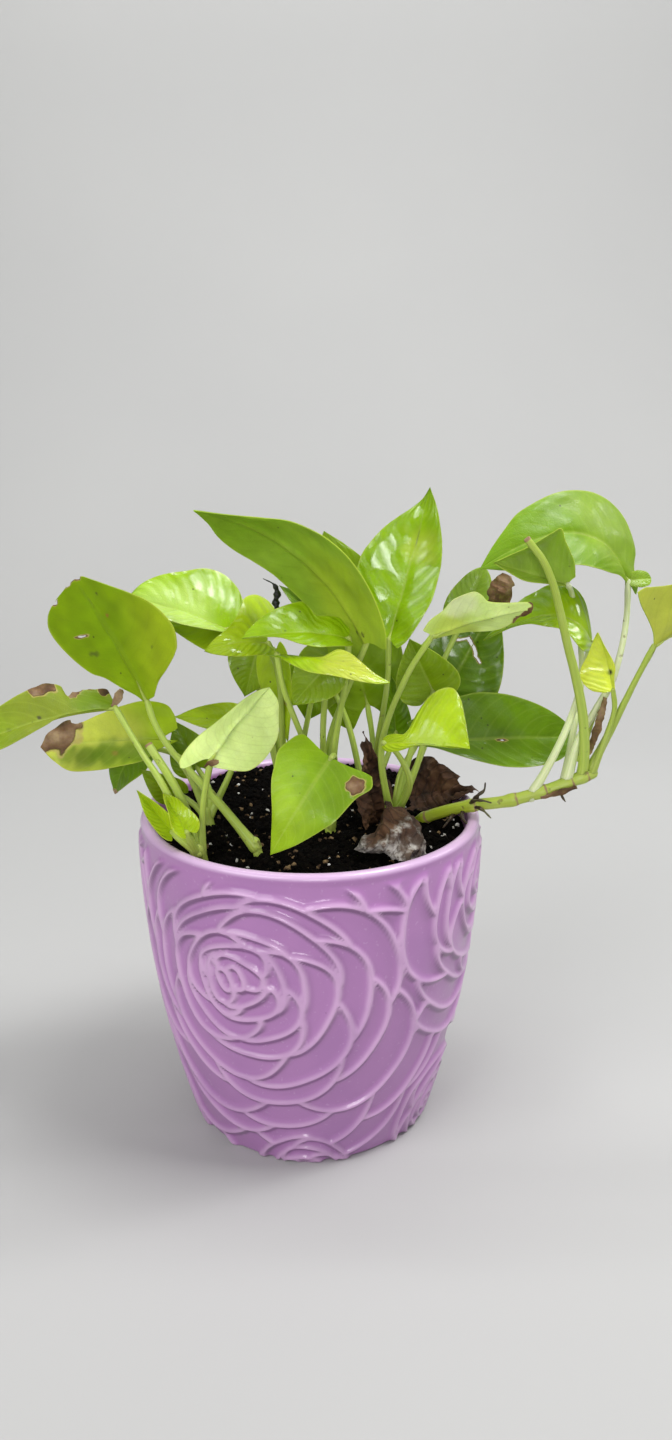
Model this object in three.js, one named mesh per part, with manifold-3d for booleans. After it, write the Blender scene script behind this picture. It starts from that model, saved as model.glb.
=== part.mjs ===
// A potted neon pothos: a glazed pot with a raised rose net, potting mix, eight rooted leafy
// stems with heart-shaped leaves on long stalks, and three withered leaves lying on the mix.
// Millimetres, +Z up, origin at the middle of the pot's flat base, the viewer stands at -Y.
import * as THREE from "three";
import { mergeVertices } from "three/addons/utils/BufferGeometryUtils.js";
import Module from "manifold-3d";

const wasm = await Module();
wasm.setup();

// Driving dimensions of the pot and its filling.
const POT_HEIGHT = 122;
const RIM_RADIUS = 63;
const BASE_RADIUS = 45;
const BELLY = 2.1; // how round the side is: 1 is a straight cone
const WALL = 4.2;
const FLOOR = 6;
const PLAIN_RIM = 4; // the smooth band above the relief
const RIDGE_HEIGHT = 1.3;
const RIDGE_HALF_WIDTH = 1.7;
const SOIL_TOP = 115;
const SOIL_MOUND = 2;
const GAP = 0.35; // clearance between pieces that touch

// Driving dimensions of the plant.
const BLADE = 0.8; // leaf thickness
const STALK = 1.6; // leaf stalk radius at the leaf
const STALK_FOOT = 2.1; // and at the stem
const STEM = 2.5; // stem radius
const STEM_FOOT_DEPTH = 16; // how far a rooted stem goes down into the mix

const v3 = (p) => new THREE.Vector3(...p);
const mix = (a, b, t) => a + (b - a) * t;
const clamp = (x, low, high) => Math.min(high, Math.max(low, x));

// A repeatable random number source.
function seeded(seed) {
  let state = seed;
  return () => {
    state = (state * 1664525 + 1013904223) % 4294967296;
    return state / 4294967296;
  };
}

// Closed solids from rows of points, and back to geometry for a mesh.
function geometryOf(points, faces) {
  return new THREE.BufferGeometry()
    .setAttribute("position", new THREE.Float32BufferAttribute(points.flatMap((p) => [p.x, p.y, p.z]), 3))
    .setIndex(faces.flat());
}

function solidOf(geometry) {
  const bare = geometry.clone();
  bare.deleteAttribute("normal");
  bare.deleteAttribute("uv");
  const merged = mergeVertices(bare, 1e-4);
  return new wasm.Manifold(
    new wasm.Mesh({
      numProp: 3,
      vertProperties: merged.attributes.position.array,
      triVerts: new Uint32Array(merged.index.array),
    }),
  );
}

function geometryFrom(solid) {
  const { vertProperties, triVerts } = solid.getMesh();
  const geometry = new THREE.BufferGeometry();
  geometry.setAttribute("position", new THREE.Float32BufferAttribute(vertProperties, 3));
  geometry.setIndex(Array.from(triVerts));
  geometry.computeVertexNormals();
  return geometry;
}

const joined = (solids) => solids.reduce((whole, solid) => whole.add(solid));
const largest = (solid) =>
  solid.decompose().reduce((best, piece) => (piece.volume() > best.volume() ? piece : best));

// Glazed pot. Each rose is a stack of rounded petals, inner ones on top, with a ridge round each petal.
const ROSES = [
  { azimuth: -25, height: 81, size: 1, turn: 0.35, drift: [1.5, -0.7], rings: 10 },
  { azimuth: 80, height: 103, size: 0.9, turn: 1.3, drift: [-0.8, -1.2], rings: 8 },
  { azimuth: 166, height: 60, size: 1, turn: 2.1, drift: [1.2, 0.8], rings: 10 },
  { azimuth: -112, height: 96, size: 0.9, turn: 1.3, drift: [-0.8, -1.3], rings: 8 },
  { azimuth: -4, height: -8, size: 0.75, turn: 1.6, drift: [0.5, 0], rings: 5 },
  { azimuth: 64, height: 10, size: 0.75, turn: 1.2, drift: [0, 0], rings: 5 },
  { azimuth: -78, height: 4, size: 0.7, turn: 1, drift: [0, 0], rings: 5 },
  { azimuth: -130, height: 14, size: 0.7, turn: 0.4, drift: [0, 0], rings: 5 },
  { azimuth: 112, height: 20, size: 0.7, turn: 2.6, drift: [0, 0], rings: 5 },
];
const PETAL_RINGS = [4.5, 9, 14.5, 21, 29, 38, 48, 58, 68, 79]; // radius of each ring of petals
const PETALS_IN_RING = [2, 3, 4, 5, 5, 6, 7, 8, 9, 10];
const PETAL_OVERLAP = 1.25;
const RING_TWIST = 0.75; // radians from one ring to the next
const PETAL_SQUARENESS = 2.4;
const UNROLLED_RADIUS = 58; // the relief is laid out on a cylinder of this radius

const PETALS = PETAL_RINGS.flatMap((ring, k) =>
  ROSES.filter((rose) => k < rose.rings).flatMap((rose) =>
    Array.from({ length: PETALS_IN_RING[k] }, (_, i) => {
      const count = PETALS_IN_RING[k];
      const radius = ring * rose.size * (1 + 0.05 * Math.sin(5 * i + 3 * k + rose.turn));
      const turn = rose.turn + k * RING_TWIST + (i * 2 * Math.PI) / count;
      const [cos, sin] = [Math.cos(turn), Math.sin(turn)];
      return {
        x: THREE.MathUtils.degToRad(rose.azimuth) * UNROLLED_RADIUS + rose.drift[0] * k + (radius / 2) * cos,
        z: rose.height + rose.drift[1] * k + (radius / 2) * sin,
        cos,
        sin,
        deep: radius / 2,
        wide: radius * Math.sin(Math.min(1.4, (Math.PI / count) * PETAL_OVERLAP)),
      };
    }),
  ),
);

// About how far (x, z) on the unrolled side lies inside a petal's edge, in mm: negative outside.
function insidePetal(petal, x, z) {
  const round = 2 * Math.PI * UNROLLED_RADIUS;
  const dx = x - petal.x - round * Math.round((x - petal.x) / round);
  const dz = z - petal.z;
  const u = Math.abs(dx * petal.cos + dz * petal.sin) / petal.deep;
  const w = Math.abs(dz * petal.cos - dx * petal.sin) / petal.wide;
  const n = PETAL_SQUARENESS;
  const reach = (u ** n + w ** n) ** (1 / n) + 1e-9;
  const slope = Math.hypot((u / reach) ** (n - 1) / petal.deep, (w / reach) ** (n - 1) / petal.wide);
  return (1 - reach) / slope;
}

// The distance to the nearest ridge that shows: a petal hides the edges of those below it.
function ridgeDistance(x, z) {
  let nearest = 1e9;
  for (const petal of PETALS) {
    const inside = insidePetal(petal, x, z);
    nearest = Math.min(nearest, Math.abs(inside));
    if (inside > 0) break;
  }
  return nearest;
}

function reliefHeight(x, z) {
  const fade = clamp((POT_HEIGHT - PLAIN_RIM - z) / 3, 0, 1);
  return RIDGE_HEIGHT * fade * clamp(1 - ridgeDistance(x, z) / RIDGE_HALF_WIDTH, 0, 1);
}

const potRadius = (z) => RIM_RADIUS - (RIM_RADIUS - BASE_RADIUS) * (1 - z / POT_HEIGHT) ** BELLY;

function makePot() {
  const AROUND = 75;
  const ROWS = 27;
  const topOfRelief = POT_HEIGHT - PLAIN_RIM;
  const cellX = (2 * Math.PI * UNROLLED_RADIUS) / AROUND;
  const cellZ = topOfRelief / (ROWS - 1);
  const points = [];
  const faces = [];
  const laid = []; // where each relief vertex lies on the unrolled side, and how far it is raised
  const place = (angle, radius, z) =>
    points.push(new THREE.Vector3(radius * Math.sin(angle), -radius * Math.cos(angle), z)) - 1;

  // How badly a straight edge between two relief vertices misses the relief half way.
  function misses(a, b) {
    if (Math.max(a, b) >= laid.length) return 0;
    const [[ua, wa, la], [ub, wb, lb]] = [laid[a], laid[b]];
    if (Math.abs(ua - ub) > 3 * cellX) return 0;
    return Math.abs(reliefHeight((ua + ub) / 2, (wa + wb) / 2) - (la + lb) / 2);
  }

  // A vertex near a ridge moves onto it, so that a coarse net still has crisp ridges.
  function reliefVertex(x, z, slides) {
    const here = ridgeDistance(x, z);
    const step = 0.3;
    const gx = (ridgeDistance(x + step, z) - ridgeDistance(x - step, z)) / (2 * step);
    const gz = (ridgeDistance(x, z + step) - ridgeDistance(x, z - step)) / (2 * step);
    const size = Math.hypot(gx, gz) || 1;
    const sx = clamp((-here * gx) / size, -0.42 * cellX, 0.42 * cellX);
    const sz = slides ? clamp((-here * gz) / size, -0.42 * cellZ, 0.42 * cellZ) : 0;
    const snaps = ridgeDistance(x + sx, z + sz) < RIDGE_HALF_WIDTH;
    const [u, w] = snaps ? [x + sx, z + sz] : [x, z];
    const lift = reliefHeight(u, w);
    laid.push([u, w, lift]);
    return place(u / UNROLLED_RADIUS, potRadius(w) + lift, w);
  }

  const wall = [];
  for (let j = 0; j < ROWS; j++) {
    const z = (topOfRelief * j) / (ROWS - 1);
    const slides = j > 0 && j < ROWS - 1;
    wall.push(Array.from({ length: AROUND }, (_, i) => reliefVertex(i * cellX, z, slides)));
  }
  // Over the lip and down the inside, as rings of [radius, height].
  const lip = [
    [RIM_RADIUS + 0.4, POT_HEIGHT - 1.6],
    [RIM_RADIUS - 1, POT_HEIGHT],
    [RIM_RADIUS - 2.8, POT_HEIGHT],
    [RIM_RADIUS - WALL, POT_HEIGHT - 1.8],
    [potRadius(60) - WALL, 60],
    [potRadius(14) - WALL, 14],
    [potRadius(FLOOR) - WALL - 5, FLOOR],
  ];
  const rings = lip.map(([radius, z]) =>
    Array.from({ length: AROUND }, (_, i) => place((i * 2 * Math.PI) / AROUND, radius, z)),
  );
  const rows = [...wall, ...rings];
  for (let j = 0; j + 1 < rows.length; j++)
    for (let i = 0; i < AROUND; i++) {
      const n = (i + 1) % AROUND;
      const [a, b, c, d] = [rows[j][i], rows[j][n], rows[j + 1][n], rows[j + 1][i]];
      if (misses(b, d) < misses(a, c)) faces.push([a, b, d], [b, c, d]);
      else faces.push([a, b, c], [a, c, d]);
    }
  const under = place(0, 0, 0);
  const inside = place(0, 0, FLOOR);
  for (let i = 0; i < AROUND; i++) {
    const n = (i + 1) % AROUND;
    faces.push([under, rows[0][n], rows[0][i]], [inside, rows.at(-1)[i], rows.at(-1)[n]]);
  }
  return solidOf(geometryOf(points, faces));
}

// Potting mix, a little below the rim, mounded and crumbly.
const soilHeight = (x, y) => {
  const out = Math.hypot(x, y) / (RIM_RADIUS - WALL);
  const crumbs = 0.5 * Math.sin(x * 0.41 + 1) * Math.cos(y * 0.37) + 0.4 * Math.sin(x * 0.93 - y * 0.71);
  return SOIL_TOP + SOIL_MOUND * (1 - out * out) + crumbs;
};

function makeSoil() {
  const AROUND = 28;
  const random = seeded(7);
  const points = [];
  const faces = [];
  const ring = (radius, height) =>
    Array.from({ length: AROUND }, (_, i) => {
      const angle = (i * 2 * Math.PI) / AROUND;
      const [x, y] = [radius * Math.cos(angle), radius * Math.sin(angle)];
      return points.push(new THREE.Vector3(x, y, height(x, y))) - 1;
    });
  const wallRadius = (z) => potRadius(z) - WALL - GAP;
  const crumbly = (x, y) => soilHeight(x, y) + 1.1 * (random() - 0.5);
  const rows = [
    ring(wallRadius(FLOOR) - 5, () => FLOOR + GAP),
    ring(wallRadius(14) - 0.5, () => 14),
    ring(wallRadius(60) - 0.5, () => 60),
    ring(wallRadius(SOIL_TOP) - 0.2, () => SOIL_TOP - 1.2),
    ...[53, 44, 34, 22, 10].map((radius) => ring(radius, crumbly)),
  ];
  for (let j = 0; j + 1 < rows.length; j++)
    for (let i = 0; i < AROUND; i++) {
      const n = (i + 1) % AROUND;
      faces.push([rows[j][i], rows[j][n], rows[j + 1][n]], [rows[j][i], rows[j + 1][n], rows[j + 1][i]]);
    }
  const under = points.push(new THREE.Vector3(0, 0, FLOOR + GAP)) - 1;
  const middle = points.push(new THREE.Vector3(0, 0, soilHeight(0, 0))) - 1;
  for (let i = 0; i < AROUND; i++) {
    const n = (i + 1) % AROUND;
    faces.push([under, rows[0][n], rows[0][i]], [middle, rows.at(-1)[i], rows.at(-1)[n]]);
  }
  return solidOf(geometryOf(points, faces));
}

// A round tube through points, whose radius runs from one end's value to the other's.
function tube(path, radiusFrom, radiusTo, sides = 5, stepLength = 12) {
  const curve = new THREE.CatmullRomCurve3(path.map(v3), false, "centripetal");
  const steps = Math.max(3, Math.round(curve.getLength() / stepLength));
  const { normals, binormals } = curve.computeFrenetFrames(steps);
  const points = [];
  const faces = [];
  for (let j = 0; j <= steps; j++) {
    const centre = curve.getPointAt(j / steps);
    const radius = mix(radiusFrom, radiusTo, j / steps);
    for (let i = 0; i < sides; i++) {
      const angle = (i * 2 * Math.PI) / sides;
      points.push(
        centre
          .clone()
          .addScaledVector(normals[j], radius * Math.cos(angle))
          .addScaledVector(binormals[j], radius * Math.sin(angle)),
      );
    }
  }
  for (let j = 0; j < steps; j++)
    for (let i = 0; i < sides; i++) {
      const n = (i + 1) % sides;
      const [a, b] = [j * sides + i, j * sides + n];
      faces.push([a, b, b + sides], [a, b + sides, a + sides]);
    }
  for (let i = 1; i + 1 < sides; i++) {
    const last = steps * sides;
    faces.push([0, i + 1, i], [last, last + i, last + i + 1]);
  }
  return solidOf(geometryOf(points, faces));
}

// A leaf's half width along the midrib, as a share of its widest: round lobes, then a drawn-out tip.
function leafWidth(s, widest, taper) {
  const swell = (taper * (widest + 0.02)) / (1 - widest);
  return ((s + 0.02) / (widest + 0.02)) ** swell * ((1 - s) / (1 - widest)) ** taper;
}

// The midrib bows from base to tip, towards the glossy face by `arch` and sideways by `sway`,
// evenly or, with `early`, more sharply near the base.
function midribOf(leaf) {
  const [base, tip, face] = [v3(leaf.base), v3(leaf.tip), v3(leaf.face)];
  const chord = tip.clone().sub(base);
  const side = chord.clone().cross(face).normalize();
  const up = side.clone().cross(chord).normalize();
  const bow = base.clone().lerp(tip, 0.5 - (leaf.early ?? 0));
  bow.addScaledVector(up, 2 * (leaf.arch ?? 0)).addScaledVector(side, 2 * (leaf.sway ?? 0));
  return { midrib: new THREE.QuadraticBezierCurve3(base, bow, tip), up, length: chord.length() };
}

// A blade: its halves fold up about the midrib and cup, its lobes reach back, its edge waves.
function blade(leaf) {
  const { width, fold = 10, cup = 0, wave = 0, lobe = 0.12, widest = 0.24, taper = 1.1 } = leaf;
  const { rows = 6, columns = 6 } = leaf;
  const { midrib, up: up0, length } = midribOf(leaf);
  const foldAngle = THREE.MathUtils.degToRad(fold);
  const bend = THREE.MathUtils.degToRad(cup || 0.1);

  // The middle surface at s along the midrib and v across it, with its unit normal.
  function surface(s, v) {
    const along = midrib.getTangent(clamp(s, 0, 1));
    const side = along.clone().cross(up0).normalize();
    const up = side.clone().cross(along);
    const half = (width / 2) * leafWidth(s, widest, taper);
    const across = (half * (Math.sin(foldAngle + bend * Math.abs(v)) - Math.sin(foldAngle))) / bend;
    const raise = (half * (Math.cos(foldAngle) - Math.cos(foldAngle + bend * Math.abs(v)))) / bend;
    const ripple = wave * v * v * Math.sin(9 * s + (v > 0 ? 1 : 2.6));
    const back = lobe * length * v * v * (1 - s) ** 3;
    const point = midrib
      .getPoint(s)
      .addScaledVector(side, Math.sign(v) * across)
      .addScaledVector(up, raise + ripple)
      .addScaledVector(along, -back);
    const lean = (foldAngle + bend * Math.abs(v)) * Math.sign(v);
    const normal = up.clone().multiplyScalar(Math.cos(lean)).addScaledVector(side, -Math.sin(lean));
    return { point, normal };
  }

  const points = [];
  const grid = [];
  for (let j = 0; j < rows; j++) {
    const s = (j / rows) ** 1.15;
    grid.push(
      Array.from({ length: columns + 1 }, (_, i) => {
        const { point, normal } = surface(s, (2 * i) / columns - 1);
        points.push(point.clone().addScaledVector(normal, BLADE / 2));
        return points.push(point.addScaledVector(normal, -BLADE / 2)) - 2;
      }),
    );
  }
  const end = surface(1, 0);
  points.push(end.point.clone().addScaledVector(end.normal, BLADE / 2));
  const tipTop = points.push(end.point.addScaledVector(end.normal, -BLADE / 2)) - 2;

  // Both faces get the same triangles: the even index is the top, the odd one the underside.
  const faces = [];
  const skin = (a, b, c) => faces.push([a, b, c], [a + 1, c + 1, b + 1]);
  const rim = (a, b) => faces.push([a, a + 1, b + 1], [a, b + 1, b]);
  for (let j = 0; j + 1 < rows; j++)
    for (let i = 0; i < columns; i++) {
      const [a, b, c, d] = [grid[j][i], grid[j][i + 1], grid[j + 1][i + 1], grid[j + 1][i]];
      if (i < columns / 2) {
        skin(a, b, d);
        skin(b, c, d);
      } else {
        skin(a, b, c);
        skin(a, c, d);
      }
    }
  for (let i = 0; i < columns; i++) {
    skin(grid[rows - 1][i], grid[rows - 1][i + 1], tipTop);
    rim(grid[0][i], grid[0][i + 1]);
  }
  for (let j = 0; j + 1 < rows; j++) {
    rim(grid[j + 1][0], grid[j][0]);
    rim(grid[j][columns], grid[j + 1][columns]);
  }
  rim(tipTop, grid[rows - 1][0]);
  rim(grid[rows - 1][columns], tipTop);
  const solid = solidOf(geometryOf(points, faces));
  return solid.volume() < 0 ? solidOf(geometryOf(points, faces.map(([a, b, c]) => [a, c, b]))) : solid;
}

// A leaf on its stalk. The stalk runs from its foot through the given points into the blade, and
// ends at the blade's base where the blade hangs back down along it.
function leafOnStalk(leaf) {
  const inward = midribOf(leaf).midrib.getPoint(0.07);
  const arriving = v3(leaf.base).sub(v3(leaf.stalk.at(-1)));
  const hangs = inward.clone().sub(v3(leaf.base)).dot(arriving) < 0;
  const path = [...leaf.stalk, leaf.base, ...(hangs ? [] : [inward.toArray()])];
  return [tube(path, STALK_FOOT, leaf.thin ?? STALK), blade(leaf)];
}

const small = { rows: 5, columns: 4 };

// Leafy stems. Each has its foot in the mix, its leaves, and bare stalks whose leaf was cut off.
const STEMS = {
  stem_trailing: {
    path: [[34, 11, 104], [39, 6, 112], [45, 0, 118.5], [59, -8, 125.6], [72, -11, 128.5], [86, -12, 133], [103, -10, 139]],
    radius: STEM,
    leaves: {
      // The big arched leaf at the upper right.
      crown: {
        base: [115, 5, 207], tip: [59, -13, 214], face: [0.05, -0.75, 0.65], width: 39, arch: 12, sway: 10, fold: 8,
        cup: -14, lobe: 0.05, widest: 0.32, taper: 0.9, early: 0.14,
        stalk: [[95, -11, 136], [98, -8, 149], [106, -2, 165], [113, 2, 180], [116, 4, 193]],
      },
      // The long shiny leaf below it.
      lower: {
        base: [103, 1, 183], tip: [64, 11, 184], face: [0, -0.45, 1], width: 30, arch: 19, fold: -10, cup: -26,
        early: 0.25,
        stalk: [[79, -12, 131], [87, -13, 139], [92, -12, 153], [97, -6, 168]],
      },
      // The leaf whose margin is rolled over, just under the big one.
      rolled: {
        ...small,
        base: [92, -18, 208], tip: [79, -27, 232], face: [0.5, 0.8, 0.3], width: 19, fold: 30, cup: 50,
        stalk: [[93, -11, 136], [96, -4, 152], [101, -1, 170], [98, -10, 192]], thin: 1.2,
      },
      // The yellow-green leaf at the far right.
      outer: {
        base: [121, -13, 185], tip: [164, 0, 202], face: [-0.3, 0.7, 0.7], width: 46, arch: 3, fold: 14, cup: 10,
        lobe: 0.28,
        stalk: [[101, -10, 138], [107, -10, 146], [111, -11, 158], [116, -12, 173]],
      },
      // A young leaf, still curled.
      young: {
        ...small,
        base: [108, -13, 171], tip: [100, -12, 192], face: [-0.6, -0.8, 0], width: 18, fold: 30, cup: 30, arch: -2,
        stalk: [[108, -10, 149], [110, -12, 161]], thin: 1,
      },
    },
    bare: [
      { path: [[99, -10, 137], [100, -14, 150], [93, -20, 172], [86, -26, 197], [72, -31, 227]], radius: [3.2, 1.7] },
    ],
  },
  stem_left_front: {
    path: [[-35, -34, SOIL_TOP - STEM_FOOT_DEPTH], [-36, -35, 110], [-38, -37, 121]],
    radius: 3,
    leaves: {
      // The pale leaf that shows its underside.
      pale: {
        base: [-33, -40, 157], tip: [-11, -28, 177], face: [0.35, 0.75, 0.5], width: 35, arch: 3, fold: -6, cup: -14,
        lobe: 0.35,
        stalk: [[-37, -36, 118], [-37, -39, 136]],
      },
      // The leaf that reaches furthest to the left.
      far_left: {
        base: [-67, -21, 168], tip: [-125, -42, 151], face: [-0.1, -0.6, 0.75], width: 28, arch: 6, fold: 14, cup: 20,
        widest: 0.45,
        stalk: [[-38, -38, 119], [-45, -35, 134], [-55, -28, 153]],
      },
      // Two young leaves at the foot.
      shoot: {
        ...small,
        base: [-48, -38, 130], tip: [-59, -31, 139], face: [-0.4, -0.6, 0.7], width: 9, fold: 30, cup: 30,
        stalk: [[-38, -38, 119]], thin: 1.4,
      },
      curl: {
        ...small,
        base: [-41, -43, 129], tip: [-48, -38, 140], face: [0.6, -0.8, 0], width: 10, fold: 25, cup: 30,
        stalk: [[-38, -37, 118]], thin: 1.2,
      },
    },
    bare: [{ path: [[-38, -37, 119], [-41, -35, 131], [-47, -32, 144], [-55, -28, 156]], radius: [1.9, 1.6] }],
  },
  stem_left: {
    path: [[-17, -30, SOIL_TOP - STEM_FOOT_DEPTH], [-17, -30, 110], [-19, -29, 120]],
    radius: 2.4,
    leaves: {
      // The broad olive leaf held up at the left.
      raised: {
        base: [-57, -16, 168], tip: [-82, -10, 212], face: [0.3, 0.9, 0.35], width: 51, arch: 2, fold: -4, cup: -6,
        lobe: 0.03, widest: 0.43, taper: 0.65,
        stalk: [[-19, -29, 118], [-36, -25, 139], [-50, -20, 155]],
      },
    },
  },
  stem_left_back: {
    path: [[-36, -4, SOIL_TOP - STEM_FOOT_DEPTH], [-37, -3, 110], [-39, -2, 121]],
    radius: 2.6,
    leaves: {
      // The yellowing leaf with the dry tip.
      yellowing: {
        base: [-55, 3, 148], tip: [-100, -1, 146], face: [0, -0.8, 0.6], width: 30, arch: 2, fold: 8, cup: 10,
        widest: 0.33, taper: 0.7,
        stalk: [[-39, -2, 119], [-46, 3, 134]],
      },
      // The leaf that hangs behind the rim.
      hanging: {
        ...small,
        base: [-65, 15, 142], tip: [-76, 12, 123], face: [-0.5, -0.7, 0.4], width: 22, arch: 3, fold: 8,
        stalk: [[-39, -1, 120], [-49, 9, 138]],
      },
      // The small leaf that points left behind the pale one.
      inner: {
        ...small,
        base: [-25, 3, 157], tip: [-50, 0, 161], face: [0, -0.5, 0.85], width: 17, fold: 12, arch: 1,
        stalk: [[-38, -2, 119], [-29, 3, 138]],
      },
      // Two dark leaves behind.
      shaded: {
        ...small,
        base: [-42, 14, 133], tip: [-54, 18, 151], face: [-0.2, -0.95, 0.2], width: 26, fold: 6,
        stalk: [[-38, -1, 120], [-39, 7, 127]],
      },
      low: {
        ...small,
        base: [-51, 7, 125], tip: [-64, 3, 136], face: [-0.4, -0.9, 0], width: 15, fold: 12,
        stalk: [[-39, -1, 118], [-45, 4, 122]],
      },
    },
  },
  stem_centre_left: {
    path: [[-8, 4, SOIL_TOP - STEM_FOOT_DEPTH], [-8, 4, 110], [-9, 5, 122]],
    radius: 2.8,
    leaves: {
      // The glossy leaf with the bright highlight.
      glossy: {
        base: [-30, 6, 189], tip: [-66, 4, 201], face: [0.1, -0.55, 0.9], width: 44, arch: 2, fold: 20, cup: -8,
        stalk: [[-9, 5, 120], [-14, 7, 150], [-23, 7, 176]],
      },
      // Its darker twin beneath.
      beneath: {
        ...small,
        base: [-28, 16, 182], tip: [-56, 14, 186], face: [-0.1, -0.7, 0.7], width: 20, fold: 8,
        stalk: [[-9, 6, 120], [-14, 12, 146], [-20, 15, 168]],
      },
      // The short shiny leaf in the middle.
      middle: {
        base: [-14, -13, 188], tip: [-35, -26, 188], face: [-0.1, -0.6, 0.8], width: 38, arch: 3, fold: 24, cup: -10,
        stalk: [[-9, 4, 120], [-10, -3, 150], [-11, -9, 176]],
      },
      // Two leaves that hang under it.
      drooping: {
        ...small,
        base: [-13, -2, 182], tip: [-8, -4, 149], face: [-0.4, -0.9, 0], width: 14, fold: 10, arch: 1,
        stalk: [[-9, 5, 120], [-15, 3, 150], [-15, 1, 172]], thin: 1.2,
      },
      tucked: {
        ...small,
        base: [-19, 2, 183], tip: [-24, 1, 165], face: [0, -0.95, 0.2], width: 20, fold: 6, arch: 1,
        stalk: [[-9, 6, 120], [-13, 6, 150], [-17, 4, 174]], thin: 1.2,
      },
    },
  },
  stem_centre_front: {
    path: [[8, -10, SOIL_TOP - STEM_FOOT_DEPTH], [8, -10, 110], [7, -11, 122]],
    radius: 2.8,
    leaves: {
      // The heart-shaped leaf that hangs in front.
      heart: {
        base: [8, -44, 156], tip: [-10, -53, 128], face: [-0.1, -0.9, 0.45], width: 35, arch: 3, fold: -4, cup: -8,
        lobe: 0.16,
        stalk: [[8, -12, 119], [9, -22, 136], [9, -37, 154]],
      },
      // The large leaf that points to the upper left.
      sail: {
        base: [23, -21, 187], tip: [-37, -26, 235], face: [0.5, 0.75, 0.55], width: 38, arch: 12, fold: -6, cup: -12,
        lobe: 0.08, widest: 0.36, taper: 0.9,
        stalk: [[8, -10, 120], [7, -12, 150], [15, -17, 176]],
      },
      // The folded leaf in front of it.
      folded: {
        base: [15, -28, 195], tip: [-21, -39, 195], face: [0.1, -0.25, 1], width: 26, arch: 3, fold: 22, cup: 10,
        stalk: [[8, -11, 120], [9, -17, 150], [13, -24, 178]],
      },
      // The bright young leaf.
      bright: {
        ...small,
        base: [-10, -35, 189], tip: [27, -46, 182], face: [0.1, -0.6, 0.8], width: 18, arch: 3, fold: 6, cup: -10,
        stalk: [[7, -12, 120], [0, -22, 150], [-8, -31, 176]], thin: 1.1,
      },
      // The dark one in its shade.
      shaded: {
        ...small,
        base: [8, -24, 184], tip: [-6, -23, 168], face: [-0.4, -0.9, 0.1], width: 20, fold: 10,
        stalk: [[8, -11, 120], [5, -15, 150], [6, -22, 172]], thin: 1.2,
      },
    },
  },
  stem_centre_back: {
    path: [[22, 12, SOIL_TOP - STEM_FOOT_DEPTH], [22, 12, 110], [22, 12, 122]],
    radius: 2.8,
    leaves: {
      // The tall pointed leaf that stands up.
      tall: {
        base: [27, -12, 186], tip: [42, -4, 241], face: [-0.2, -0.9, 0.3], width: 34, arch: -3, fold: 18, cup: -8,
        lobe: 0.04, widest: 0.36,
        stalk: [[22, 11, 120], [25, 2, 146], [28, -9, 174]],
      },
      // The leaf behind, between the two tall ones.
      behind: {
        base: [22, 26, 180], tip: [5, 24, 223], face: [0, -0.9, 0.2], width: 36, fold: 6, arch: 2,
        stalk: [[22, 13, 120], [24, 20, 150]],
      },
      // The spotted leaf low down in the middle.
      spotted: {
        ...small,
        base: [6, 22, 171], tip: [0, 24, 148], face: [0, -0.95, 0.2], width: 18, fold: 6, arch: 1,
        stalk: [[21, 13, 120], [14, 19, 150]], thin: 1.2,
      },
      // The slim leaf that leans back to the right.
      slim: {
        ...small,
        base: [33, 21, 145], tip: [31, 21, 168], face: [0.1, -1, 0], width: 13, fold: 20,
        stalk: [[23, 12, 120], [29, 19, 134]], thin: 1.2,
      },
    },
  },
  stem_right: {
    path: [[30, -6, SOIL_TOP - STEM_FOOT_DEPTH], [30, -6, 110], [30, -6, 122]],
    radius: 2.8,
    leaves: {
      // The long leaf with the dry end, seen from below.
      long: {
        base: [42, -25, 193], tip: [77, -32, 206], face: [-0.2, 0.45, 0.85], width: 26, arch: 2, fold: 14, cup: 8,
        lobe: 0.04,
        stalk: [[30, -6, 120], [26, -13, 150], [34, -21, 178]],
      },
      // The small one that folds over in front.
      cupped: {
        ...small, rows: 6,
        base: [34, -31, 158], tip: [56, -41, 156], face: [-0.1, -0.5, 0.9], width: 27, arch: 13, fold: -8, cup: -26,
        lobe: 0.25,
        stalk: [[31, -7, 120], [37, -16, 138], [35, -25, 153]],
      },
      // The large dark leaf that lies low at the right.
      low: {
        base: [40, 4, 146], tip: [111, 14, 146], face: [-0.1, -0.9, 0.45], width: 32, arch: 3, fold: 4, cup: 6,
        lobe: 0.05, widest: 0.4, taper: 0.8,
        stalk: [[31, -5, 120], [34, 0, 136]],
      },
      // The dark leaf above it.
      torn: {
        base: [52, 24, 160], tip: [72, 29, 196], face: [-0.2, -0.95, 0.1], width: 36, fold: 10,
        stalk: [[31, -4, 120], [41, 7, 138]],
      },
      // The pale round one behind the long leaf.
      round: {
        ...small,
        base: [56, 8, 192], tip: [64, 12, 211], face: [-0.2, -0.8, 0.5], width: 17, fold: 10, taper: 0.6,
        stalk: [[31, -5, 120], [38, 0, 146], [48, 6, 174]],
      },
      // A leaf that rises behind the cupped one.
      rising: {
        ...small,
        base: [43, -8, 166], tip: [35, -10, 184], face: [-0.3, -0.9, 0.2], width: 22, fold: 12,
        stalk: [[32, -6, 120], [40, -8, 144]], thin: 1.2,
      },
    },
  },
};

function makeStem({ path, radius, leaves, bare = [] }) {
  const pieces = [tube(path, radius * 0.9, radius * 0.8, 7, 9)];
  for (const leaf of Object.values(leaves)) pieces.push(...leafOnStalk(leaf));
  for (const stub of bare) pieces.push(tube(stub.path, ...stub.radius));
  return largest(joined(pieces));
}

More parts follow.
